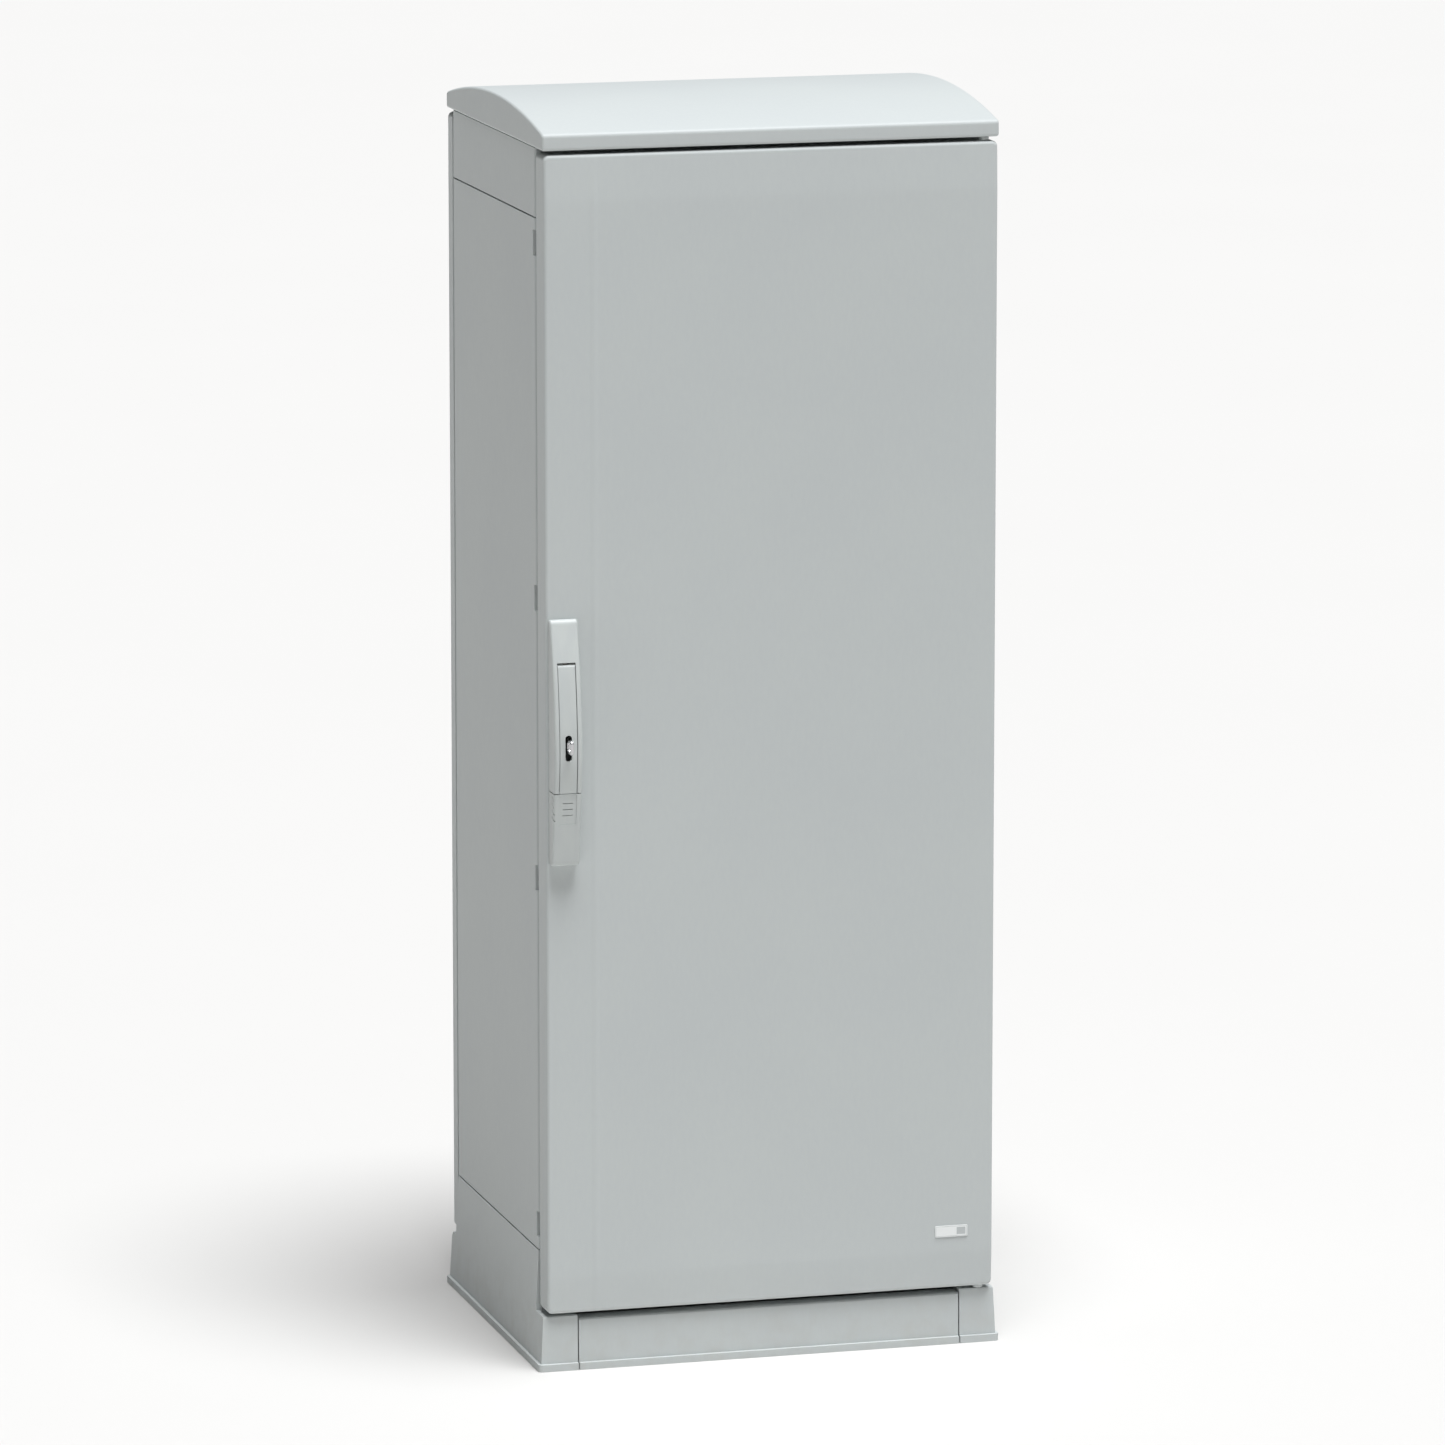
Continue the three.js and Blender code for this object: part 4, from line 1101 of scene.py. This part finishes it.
@dataclass
class Seal:
    """A sealing ring with a round face, laid between two mouldings."""

    name: str
    node: str
    body: str
    width: float
    corner: float
    faces_back: bool = True

    def section(self, depth: float) -> list[Point]:
        """The ring's section.

        Args:
            depth: the ring's whole depth.

        Returns:
            Its points: how far in from the outer edge, and how deep.
        """
        w, waist, foot = self.width, depth * 0.45, depth * 0.12
        crown = arc((w / 2, waist), 1.0, 180, 0, 10)
        dome = [((x - w / 2) * w / 2 + w / 2, waist + (y - waist) * depth * 0.55) for x, y in crown]
        slit = [(w * 0.9, 0.0), (w * 0.55, 0.0), (w * 0.5, foot), (w * 0.45, 0.0), (w * 0.1, 0.0)]
        return [(0.0, foot), *dome, (w, foot), *slit]

    def build(self) -> None:
        """Makes the ring."""
        low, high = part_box(self.node)
        seat, way = (low.y, 1) if self.faces_back else (high.y, -1)
        loops = [
            ring((low, high), inset, max(self.corner - inset, 1.2 * MM), seat + way * deep)
            for inset, deep in self.section(high.y - low.y)
        ]
        Solid.loft(loops, closed=True).piece(self.name, self.body, "rubber", self.node, smooth=60)


@dataclass
class NamePlate:
    """The blank plate low on the door."""

    corner: float = 1.2 * MM
    soft: float = 0.2 * MM

    def build(self) -> None:
        """Makes the plate."""
        low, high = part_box("door_label")
        outline = rounded_rectangle((low.x, low.z), (high.x, high.z), self.corner)
        plate = Solid.prism(Axis.Y, outline, low.y, high.y).softened(self.soft)
        middle, half = (low + high) / 2, (high - low) / 2
        foil = PrintedFoil("printed_foil", (middle.x, middle.z), (half.x, half.z))
        plate.piece("name_plate", "door", "label_white", "door_label", finish=foil)


# ---------------------------------------------------------------- canopy


@dataclass
class RainCanopy:
    """The arched rain canopy: one hollow moulding with a round lip, on four screw columns."""

    wall: float = 4 * MM
    lip: float = 17.5 * MM
    turn: float = 4 * MM
    soft: float = 3 * MM
    column: float = 7 * MM
    column_top: float = 8 * MM
    column_side: float = 51.5 * MM
    column_end: float = 91 * MM
    steps: int = 48
    low: Vector = corner_of("canopy", 0)
    high: Vector = corner_of("canopy", 1)

    def section(self, inset: float) -> list[Point]:
        """The canopy's side view, inside its outer face by some amount.

        Args:
            inset: the amount.

        Returns:
            Its points, in y and z.
        """
        middle = (self.low.y + self.high.y) / 2
        chord = (self.high.y - self.low.y) / 2
        shoulder = self.low.z + self.lip
        rise = self.high.z - shoulder
        radius = (chord**2 + rise**2) / (2 * rise)
        reach = math.degrees(math.asin((chord - inset - self.turn) / (radius - inset)))
        crown = arc((middle, self.high.z - radius), radius - inset, 90 + reach, 90 - reach, self.steps)
        front, back = self.low.y + inset, self.high.y - inset
        bottom = self.low.z - (1 * MM if inset else 0)
        top = shoulder - inset
        rounded = bend((front, top - self.turn), (front, top), crown[0])
        down = bend(crown[-1], (back, top), (back, top - self.turn))
        return [(front, bottom), (front, top - self.turn), *rounded, *crown[1:], *down, (back, bottom)]

    def build(self) -> None:
        """Makes the canopy."""
        outer = Solid.prism(Axis.X, self.section(0), self.low.x, self.high.x)
        room = Solid.prism(Axis.X, self.section(self.wall), self.low.x + self.wall, self.high.x - self.wall)
        top = self.low.z + self.lip + self.column_top
        columns = [
            Solid.prism(Axis.Z, circle((x, y), self.column), self.low.z, top)
            for x in (self.low.x + self.column_side, self.high.x - self.column_side)
            for y in (self.low.y + self.column_end, self.high.y - self.column_end)
        ]
        shell = outer.softened(self.soft, 4, 50, clamp=False).cut(room).beside(*columns)
        shell.piece("rain_canopy", "cabinet", "polyester", "canopy")


# ---------------------------------------------------------------- handle


@dataclass
class BowedHandle:
    """The handle: a bowed housing with a tongue and grip that fold out together, and a padlock eye.

    Depths are given from the door's front face, forwards negative, and heights from the handle's middle.
    """

    half_width: float = 15.3 * MM
    seam: float = -52 * MM
    seam_gap: float = 0.9 * MM
    seam_depth: float = 22.7 * MM
    crown: tuple[Point, ...] = ((24.5 * MM, -52 * MM), (28 * MM, 0.0), (21 * MM, 71 * MM))
    edge: float = 2.6 * MM
    heel: Triple = (9 * MM, 14 * MM, 14.8 * MM)
    heel_round: float = 6 * MM
    toe: Triple = (8.6 * MM, 7.2 * MM, 4 * MM)
    toe_round: float = 4 * MM
    sunk: float = 10 * MM
    housing_soft: float = 0.45 * MM
    grip_soft: float = 0.3 * MM
    tongue_soft: float = 0.35 * MM
    base: float = 2 * MM
    base_corner: float = 3 * MM
    base_soft: float = 0.5 * MM
    base_lap: float = 1.9 * MM
    apron_low: float = -59 * MM
    fit: float = 0.3 * MM
    tongue: float = 19 * MM
    tongue_gap: float = 0.6 * MM
    tongue_top: float = 86.8 * MM
    tongue_top_gap: float = 1.7 * MM
    tongue_sunk: float = 0.4 * MM
    tongue_edge: float = 0.7 * MM
    tongue_round: float = 5 * MM
    tongue_crown: float = 18.7 * MM
    tongue_walls: Point = (3 * MM, 4 * MM)
    grip_walls: Point = (3 * MM, 3.5 * MM)
    lip_gap: float = 1.3 * MM
    lip_depth: float = 15.2 * MM
    pivot: float = 77 * MM
    pivot_proud: float = 10 * MM
    pin: float = 2.8 * MM
    pin_inset: float = 1.5 * MM
    pivot_room: float = 3 * MM
    hub: float = 4 * MM
    hub_low: float = 12 * MM
    room_ends: Point = (2 * MM, 14 * MM)
    slot: float = 7.3 * MM
    slot_ends: Point = (-16.6 * MM, 11.5 * MM)
    sector: float = 3.3 * MM
    sector_way: float = 4 * MM
    sector_sweep: float = 21 * MM
    sector_skin: float = 1.9 * MM
    panel: Point = (19.2 * MM, 33 * MM)
    panel_gap: float = 1.2 * MM
    panel_depth: float = 0.6 * MM
    bar: Point = (5.5 * MM, 0.9 * MM)
    bar_depth: float = 1.9 * MM
    bar_reach: Point = (-32.5 * MM, -6.5 * MM)
    bar_heights: Triple = (0.3, 0.5, 0.7)
    groove: Triple = (2 * MM, 4.6 * MM, 0.6 * MM)
    groove_at: Point = (17.5 * MM, 5.5 * MM)
    groove_pitch: float = 7.4 * MM
    groove_tilt: float = 32
    eye_half: Point = (2 * MM, 7.6 * MM)
    eye_hole: Triple = (2.8 * MM, 13.5 * MM, 4.6 * MM)
    eye_corner: float = 3 * MM
    eye_hole_corner: float = 2.2 * MM
    eye_edge: float = 1.5 * MM
    eye_foot: float = 2 * MM
    clear: float = 50 * MM
    broad: float = 30 * MM
    far: float = 60 * MM
    over: float = 5 * MM
    past: float = 1 * MM
    low: Vector = corner_of("handle_housing", 0)
    high: Vector = corner_of("handle_housing", 1)

    def __post_init__(self) -> None:
        """Works out the handle's own middle, at its foot on the door."""
        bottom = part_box("lever")[0].z
        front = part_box("door_shell")[0].y
        self.middle = Vector((self.low.x + self.half_width, front, (bottom + self.high.z) / 2))
        self.half_height = (self.high.z - bottom) / 2

    def at(self, x: float, y: float, z: float) -> Triple:
        """A point given from the handle's middle."""
        return (self.middle.x + x, self.middle.y + y, self.middle.z + z)

    def bow(self, inset: float) -> list[Point]:
        """The side view.

        Args:
            inset: how far inside the crown it lies.

        Returns:
            Its points, in y and z.
        """
        end = self.half_height - inset
        flat, heel, rise = (inset - proud for proud in self.heel)
        slope, toe, top = (inset - proud for proud in self.toe)
        start = (rise, self.heel_round - end)
        lower = bend((flat, -end), (heel, -end), start, 6)
        crown = [(inset - proud, z) for proud, z in self.crown]
        curve = spline([start, *crown, (slope, end - self.toe_round)], 14)
        upper = bend(curve[-1], (toe, end), (top, end), 6)
        points = [(self.sunk, -end), (flat, -end), *lower, *curve[1:], *upper, (self.sunk, end)]
        return [(self.middle.y + y, self.middle.z + z) for y, z in points]

    def bowed(self, half_width: float, inset: float, soft: float = 0.0) -> Solid:
        """The bow over some width, some way inside its crown, with its long edges rounded."""
        solid = Solid.prism(Axis.X, self.bow(inset), self.middle.x - half_width, self.middle.x + half_width)
        return solid.softened(soft, 5, 60, clamp=False) if soft else solid

    def span(self, half_width: float, depths: Point, heights: Point) -> Solid:
        """A block across the handle's middle, between two depths and two heights."""
        low, high = ((side * half_width, y, z) for side, y, z in zip((-1, 1), depths, heights))
        return Solid.block(self.at(*low), self.at(*high))

    def stretch(self, solid: Solid, back: float, heights: Point) -> Solid:
        """What a solid has between two heights, in front of a depth."""
        return solid.within(self.span(self.clear, (-self.far, back), heights))

    def across(self, y: float, z: float, radius: float, reach: float) -> Solid:
        """A cylinder across the handle."""
        x, cy, cz = self.at(0, y, z)
        return Solid.prism(Axis.X, circle((cy, cz), radius, 40), x - reach, x + reach)

    def plate(self, right: float, bottom: float) -> Solid:
        """A stretch of the base plate, from the handle's left side and its top.

        Args:
            right: its right side.
            bottom: its lower end.

        Returns:
            The plate.
        """
        low = self.at(-self.half_width, -self.base - self.fit, bottom)
        high = self.at(right, -self.fit, self.half_height)
        outline = rounded_rectangle(low[::2], high[::2], self.base_corner)
        return Solid.prism(Axis.Y, outline, low[1], high[1]).softened(self.base_soft)

    def housing(self) -> None:
        """Makes the fixed part."""
        wide, long = self.half_width, self.half_height
        low = self.seam + self.seam_gap / 2
        recess_top = self.tongue_top + self.tongue_top_gap
        side = self.tongue / 2 + self.tongue_gap
        floor = -self.base - self.fit
        upper = self.stretch(self.bowed(wide, 0, self.edge), -self.fit, (low, long + self.over))
        recess = self.span(side, (-self.far, floor), (low - self.past, self.tongue_top + self.lip_gap))
        undercut = self.span(side, (-self.lip_depth, floor), (self.pivot, recess_top))
        low_end = self.pivot - self.sector_sweep - self.past
        pivot_way = self.span(side, (-self.pivot_room, self.past), (low_end, recess_top))
        way = (self.pivot - self.over, self.pivot + self.sector_sweep)
        inside = self.bowed(wide, self.sector_skin)
        sector_way = inside.within(self.span(self.sector_way, (-self.far, self.past), way))
        bore = self.across(-self.pivot_proud, self.pivot, self.pin, wide - self.pin_inset)
        apron = self.plate(wide + self.base_lap, self.apron_low)
        base = self.plate(wide, -long)
        body = upper.cut(recess, undercut).softened(self.housing_soft, 3, 50).joined(base, apron)
        shell = body.cut(pivot_way, sector_way, bore)
        shell.piece("handle_housing_shell", "door", "handle_grey", "handle_housing", smooth=40)

    def grip(self) -> Solid:
        """Makes the lever's lower part.

        Returns:
            The hollow grip below the seam.
        """
        top = self.seam - self.seam_gap / 2
        back = -self.base - 2 * self.fit
        long = self.half_height
        side_wall, crown_wall = self.grip_walls
        whole = self.stretch(self.bowed(self.half_width, 0, self.edge), back, (-long - self.over, top))
        inside = self.bowed(self.half_width - side_wall, crown_wall)
        hollow = self.stretch(inside, self.past, (-long + side_wall, top - side_wall))
        return whole.cut(hollow).softened(self.grip_soft, 2, 50).cut(*self.grip_relief())

    def tongue_part(self) -> Solid:
        """Makes the lever's upper part.

        Returns:
            The hollow tongue above the seam, with its slot, its rolled top and its way for the sector.
        """
        top = self.seam - self.seam_gap / 2
        side = self.tongue / 2
        side_wall, crown_wall = self.tongue_walls
        whole = self.bowed(side, self.tongue_sunk, self.tongue_edge)
        blank = self.stretch(whole, self.hub - self.pivot_proud, (top - self.hub, self.tongue_top))
        inside = self.bowed(side - side_wall, crown_wall)
        room = self.stretch(inside, self.past, (top + self.room_ends[0], self.pivot - self.room_ends[1]))
        roll_y = -self.tongue_crown + self.tongue_round
        roll_z = self.tongue_top - self.tongue_round
        roll = self.across(roll_y, roll_z, self.tongue_round, self.far)
        above = self.tongue_top + self.past
        corner = self.span(self.clear, (roll_y - self.sunk, roll_y), (roll_z, above)).cut(roll)
        x, y, z = self.middle
        half = self.slot / 2
        slot_low, slot_high = ((x + s * half, z + end) for s, end in zip((-1, 1), self.slot_ends))
        outline = rounded_rectangle(slot_low, slot_high, half - 0.05 * MM, 8)
        slot = Solid.prism(Axis.Y, outline, y - self.far, y)
        hub_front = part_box("lever_sector")[0].y - y - self.fit
        sector = self.span(self.sector, (hub_front, self.past), (self.pivot - self.hub_low, above))
        bore = self.across(-self.pivot_proud, self.pivot, self.pin, self.broad)
        line = self.span(self.clear, (-self.far, -self.seam_depth), (top, top + self.seam_gap))
        return blank.cut(room, corner, slot, line).softened(self.tongue_soft, 3, 50).cut(sector, bore)

    def grip_relief(self) -> list[Solid]:
        """Makes what is sunk into the grip's surface.

        Returns:
            The square panel below the seam, three plain bars in it, and four grooves on the left side.
        """
        wide, tall = self.panel
        panel_low = self.seam - self.panel_gap - tall
        x, y, z = self.middle
        low, high = (x - wide / 2, z + panel_low), (x + wide / 2, z + panel_low + tall)
        slab = Solid.prism(Axis.Y, rounded_rectangle(low, high, 0.8 * MM, 3), y - self.clear, y)
        skin = self.bowed(self.broad, -self.past)
        cuts = [slab.within(skin).cut(self.bowed(self.broad, self.panel_depth))]
        for height in (panel_low + tall * share for share in self.bar_heights):
            bar = self.span(self.bar[0], self.bar_reach, (height, height + self.bar[1]))
            cuts.append(bar.cut(self.bowed(self.broad, self.bar_depth)))
        half, deep, tall = self.groove
        groove = self.span(half, (-deep, deep), (-tall, tall))
        tilt = Matrix.Rotation(math.radians(self.groove_tilt), 4, "X") @ Matrix.Translation(-self.middle)
        proud, below = self.groove_at
        for height in (self.seam - below - self.groove_pitch * i for i in range(4)):
            away = Matrix.Translation(Vector(self.at(-self.half_width, -proud, height)))
            cuts.append(groove.moved(away @ tilt))
        return cuts

    def eye(self) -> None:
        """Makes the padlock eye: a flat plate with a rounded hole, on a foot."""
        low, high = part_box("padlock_staple")
        x, _, z = self.middle
        thick, tall = self.eye_half
        near, end, hole_tall = self.eye_hole
        outline = rounded_rectangle((low.y, z - tall), (high.y, z + tall), self.eye_corner, 8)
        plate = Solid.prism(Axis.X, outline, x - thick, x + thick)
        hole_low, hole_high = (low.y + near, z - hole_tall), (low.y + end, z + hole_tall)
        outline = rounded_rectangle(hole_low, hole_high, self.eye_hole_corner, 8)
        hole = Solid.prism(Axis.X, outline, x - self.over, x + self.over)
        shape = plate.cut(hole).softened(self.eye_edge, 5, 50)
        foot = Solid.block((low.x, high.y - self.eye_foot, low.z), high).softened(0.4 * MM, 2)
        shape.beside(foot).piece("padlock_eye", "door", "chrome", "padlock_staple", smooth=45)

    def build(self) -> None:
        """Makes the whole handle."""
        self.housing()
        lever = self.grip().joined(self.tongue_part())
        lever.piece("handle_lever", "lever", "handle_grey", "lever", smooth=40)
        self.eye()


# ---------------------------------------------------------------- hinges, lock drive and inside


@dataclass
class DoorFittings:
    """Screws on the hinge leaves, the rod guides and the drive's case."""

    lip_screw: Screw = Screw(3.4 * MM, 2.0 * MM, 1.6 * MM, 2 * MM)
    leaf_screw: Screw = Screw(3.0 * MM, 1.2 * MM, 1.4 * MM, 1.4 * MM, Drive.HEXAGON)
    lip: float = 2 * MM
    guide_side: float = 2.3 * MM
    case_side: float = 2.6 * MM
    case_end: float = 12 * MM
    leaf_end: float = 9 * MM
    leaf_row: float = 0.78

    def build(self) -> None:
        """Makes the screws."""
        screws = Fittings("door_screws", "door")
        for i in range(1, 5):
            low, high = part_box(f"rod_guide_{i}")
            seat = (high.x - self.guide_side, low.y + self.lip, (low.z + high.z) / 2)
            screws.add(self.lip_screw, (0, 1, 0), [seat])
        low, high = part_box("gearbox_case")
        x, y = high.x - self.case_side, low.y + self.lip
        heights = spaced(low.z, high.z, self.case_end, 3)
        screws.add(self.lip_screw, (0, 1, 0), [(x, y, z) for z in heights])
        for i in range(1, 5):
            low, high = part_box(f"hinge_leaf_{i}")
            x, y = high.x - self.lip, low.y + (high.y - low.y) * self.leaf_row
            heights = spaced(low.z, high.z, self.leaf_end, 3)
            screws.add(self.leaf_screw, (-1, 0, 0), [(x, y, z) for z in heights])
        screws.build()


@dataclass
class CabinetFittings:
    """Screws inside the cabinet, on the gland plate and the uprights."""

    plate_screw: Screw = Screw(5 * MM, 2.8 * MM, 2 * MM, 1.6 * MM)
    upright_screw: Screw = Screw(6 * MM, 3.2 * MM, 2 * MM, 1.6 * MM, Drive.HEXAGON)
    margin: float = 9 * MM
    sheet: float = 2 * MM
    upright_back: float = 8 * MM
    upright_end: float = 15 * MM

    def build(self) -> None:
        """Makes the screws."""
        screws = Fittings("cabinet_screws", "cabinet")
        low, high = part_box("gland_plate")
        front, back = low.y + self.margin, high.y - self.margin
        across = spaced(low.x, high.x, self.margin, 4)
        screws.add(self.plate_screw, (0, 0, 1), [(x, y, high.z) for x in across for y in (front, back)])
        middle = (low.y + high.y) / 2
        screws.add(self.plate_screw, (0, 0, 1), [(x, middle, high.z) for x in (across[0], across[-1])])
        for side, name in ((1, "upright_left"), (-1, "upright_right")):
            low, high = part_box(name)
            x = (low.x if side > 0 else high.x) + side * self.sheet
            y = high.y - self.upright_back
            heights = spaced(low.z, high.z, self.upright_end, 5)
            screws.add(self.upright_screw, (side, 0, 0), [(x, y, z) for z in heights])
        screws.build()


@dataclass
class EarthStud:
    """The earth stud: a washer, a chamfered nut and a threaded end."""

    washer: Point = (10 * MM, 1.8 * MM)
    nut: float = 7.4 * MM
    nut_top: float = 8.3 * MM
    nut_cone: Point = (6.5 * MM, 7.5 * MM)
    chamfer: float = 0.6 * MM
    thread: Point = (3.35 * MM, 3.95 * MM)
    tip: float = 2.9 * MM
    pitch: float = 1.25 * MM
    sides: int = 36
    low: Vector = corner_of("earth_stud", 0)
    high: Vector = corner_of("earth_stud", 1)

    def outline(self, radius: float, sides: int) -> list[Point]:
        """A circle or hexagon round the stud."""
        middle = (self.low + self.high) / 2
        return circle((middle.x, middle.y), radius, sides)

    def turned(self, *stations: Point) -> Solid:
        """A turned shape through some radii and heights."""
        outlines = [(z, self.outline(radius, self.sides)) for radius, z in stations]
        return Solid.loft([[Axis.Z.point(z, point) for point in outline] for z, outline in outlines])

    def build(self) -> None:
        """Makes the stud."""
        radius, thick = self.washer
        seat, top = self.low.z + thick, self.low.z + self.nut_top
        washer = self.turned((radius, self.low.z), (radius, seat)).softened(0.3 * MM, 2)
        narrow, wide = self.nut_cone
        over = 0.01 * MM
        ends = [(narrow, seat - over), (wide, seat + self.chamfer)]
        cone = self.turned(*ends, (wide, top - self.chamfer), (narrow, top + over))
        nut = Solid.prism(Axis.Z, self.outline(self.nut, 6), seat, top).within(cone)
        root, crest = self.thread
        turns = int((self.high.z - top - 1 * MM) / self.pitch)
        stations = [(root, top - 1 * MM)]
        for z in (top + i * self.pitch for i in range(turns)):
            stations += [(root, z), (crest, z + self.pitch * 0.4), (crest, z + self.pitch * 0.55)]
        stations += [(root, top + turns * self.pitch), (self.tip, self.high.z)]
        stud = washer.beside(nut, self.turned(*stations))
        stud.piece("earth_terminal", "cabinet", "brass", "earth_stud")


class Dresser:
    """Gives the CAD nodes that stay their edges and finishes."""

    edges: dict[str, float] = {
        "polyester": 0.7 * MM,
        "polyester_inner": 0.6 * MM,
        "handle_grey": 0.8 * MM,
        "zinc_steel": 0.45 * MM,
        "galvanised": 0.25 * MM,
    }
    fine: dict[str, float] = {
        **dict.fromkeys(("reversing_pinion", "lever_sector"), 0.12 * MM),
        **dict.fromkeys(("upper_rod", "lower_rod"), 0.2 * MM),
        **dict.fromkeys(("plinth_side_left", "plinth_side_right"), 0.3 * MM),
        **dict.fromkeys(("plinth_front_cover", "plinth_rear_cover"), 0.3 * MM),
    }
    weld: float = 0.004 * MM
    flat_below: float = math.radians(0.6)
    round_below: float = math.radians(32)
    bevel_above: float = math.radians(38)

    def __init__(self) -> None:
        """Reads each node's slot from the record, and makes the shading group."""
        self.slots = {part["node"]: part["material_slot"] for part in frame["record"]["subparts"]}
        self.shading = self.shading_group()

    def shading_group(self) -> bpy.types.NodeTree:
        """Makes the nodes of a modifier.

        Returns:
            A node group that shades every blunt edge as round.
        """
        group = bpy.data.node_groups.new("round_shading", "GeometryNodeTree")
        for way in ("INPUT", "OUTPUT"):
            group.interface.new_socket("Geometry", in_out=way, socket_type="NodeSocketGeometry")
        graph = Graph(group)
        given = graph.node("NodeGroupInput")
        plain = graph.node("GeometryNodeRemoveAttribute", None, {"Geometry": given, "Name": "custom_normal"})
        smooth = graph.node("GeometryNodeSetShadeSmooth", None, {"Geometry": plain})
        angle = graph.node("GeometryNodeInputMeshEdgeAngle")
        inputs = {0: angle, 1: self.round_below}
        sharp = graph.node("FunctionNodeCompare", {"operation": "GREATER_THAN"}, inputs)
        creased = {"Geometry": smooth, "Selection": sharp, "Shade Smooth": False}
        result = graph.node("GeometryNodeSetShadeSmooth", {"domain": "EDGE"}, creased)
        graph.node("NodeGroupOutput", None, {0: result}, output=None)
        return group

    def dress(self, name: str, node: bpy.types.Object) -> None:
        """Rounds one node's edges and gives it its finish.

        Args:
            name: the node's name.
            node: its object.
        """
        slot = self.slots[name]
        bevel = {"segments": 2, "limit_method": "ANGLE", "angle_limit": self.bevel_above}
        modify(node, "one_skin", "WELD", merge_threshold=self.weld)
        modify(node, "whole_faces", "DECIMATE", decimate_type="DISSOLVE", angle_limit=self.flat_below)
        modify(node, "soft_edges", "BEVEL", width=self.fine.get(name, self.edges[slot]), **bevel)
        modify(node, "round_shading", "NODES", node_group=self.shading)
        modify(node, "even_faces", "WEIGHTED_NORMAL", keep_sharp=True)
        node.data.materials.clear()
        node.data.materials.append(Finishes.of_slot(slot).material())
        LOG.info("%s: %s", name, slot)

    def build(self) -> None:
        """Dresses every node that is still shown."""
        for name, node in sorted(frame["nodes"].items()):
            if not node.hide_render:
                self.dress(name, node)


# ---------------------------------------------------------------- studio


@dataclass(frozen=True)
class Lamp:
    """A distant soft light in front of the cabinet, with its angles in degrees.

    It stands at a height above the floor and a turn to the right of the door, and looks a spread wide.
    """

    name: str
    height: float
    turn: float
    spread: float
    power: float
    colour: Colour

    def build(self) -> None:
        """Hangs the light."""
        data = bpy.data.lights.new(self.name, "SUN")
        data.energy = self.power
        data.angle = math.radians(self.spread)
        data.color = self.colour
        light = shown(self.name, data)
        up, right = math.radians(self.height), math.radians(self.turn)
        source = Vector((math.sin(right) * math.cos(up), -math.cos(right) * math.cos(up), math.sin(up)))
        light.location = source * 5
        light.rotation_euler = (-source).to_track_quat("-Z", "Y").to_euler()


@dataclass
class Studio:
    """The floor, the light and the camera, with angles in degrees and lengths in metres."""

    lens: float = 222.9
    sensor: float = 36.0
    azimuth: float = -15.532
    elevation: float = 10.52
    camera_at: Triple = (-2.5727, -9.2497, 2.449)
    sight: float = 200.0
    floor_size: float = 400.0
    ambient: float = 0.05
    ambient_colour: Colour = (1.0, 0.985, 0.975)
    backdrop: Colour = (0.93, 0.935, 0.935)
    key_light: Lamp = Lamp("key_light", 78, 16, 30, 4.7, (1.0, 1.01, 1.03))
    front_light: Lamp = Lamp("front_light", 16, 24, 50, 0.22, (1.0, 1.01, 1.02))

    def build(self) -> None:
        """Makes the studio."""
        self.floor()
        self.sky()
        self.key_light.build()
        self.front_light.build()
        self.camera()

    def floor(self) -> None:
        """Lays a round pale floor."""
        made = bmesh.new()
        bmesh.ops.create_circle(made, cap_ends=True, radius=self.floor_size / 2, segments=96)
        bmesh.ops.recalc_face_normals(made, faces=made.faces)
        ground = shown("floor", Solid.of(made).mesh)
        ground.data.materials.append(PaleFloor("pale_floor").material())

    def sky(self) -> None:
        """Makes a white backdrop, and faint light from all round."""
        world = bpy.data.worlds.new("studio")
        bpy.context.scene.world = world
        world.use_nodes = True
        graph = Graph(world.node_tree)
        seen = graph.node("ShaderNodeLightPath", output="Is Camera Ray")
        faint = {"Color": self.ambient_colour, "Strength": self.ambient}
        light = graph.node("ShaderNodeBackground", None, faint)
        backdrop = graph.node("ShaderNodeBackground", None, {"Color": self.backdrop, "Strength": 1.0})
        both = graph.node("ShaderNodeMixShader", None, {0: seen, 1: light, 2: backdrop})
        graph.feed(world.node_tree.nodes["World Output"].inputs["Surface"], both)

    def camera(self) -> None:
        """Places the camera, to the left of the door and a little above the cabinet's top."""
        data = bpy.data.cameras.new("camera")
        data.lens = self.lens
        data.sensor_width = self.sensor
        data.clip_end = self.sight
        camera = shown("camera", data)
        camera.location = self.camera_at
        a, e = math.radians(self.azimuth), math.radians(self.elevation)
        look = Vector((-math.sin(a) * math.cos(e), math.cos(a) * math.cos(e), -math.sin(e)))
        camera.rotation_euler = look.to_track_quat("-Z", "Y").to_euler()
        bpy.context.scene.camera = camera
        bpy.context.scene.view_settings.view_transform = "Standard"


def main() -> None:
    """Builds the cabinet's looks, one sub-assembly after another."""
    logging.basicConfig(level=logging.INFO, format="%(message)s")
    assemblies = [
        Studio(),
        DoorLeaf(),
        RainCanopy(),
        BowedHandle(),
        Seal("door_seal", "door_gasket", "door", 12 * MM, 10 * MM),
        Seal("rear_seal", "rear_gasket", "cabinet", 10 * MM, 7 * MM, faces_back=False),
        NamePlate(),
        EarthStud(),
        DoorFittings(),
        CabinetFittings(),
        Dresser(),
    ]
    for assembly in assemblies:
        assembly.build()


if __name__ == "__main__":
    main()
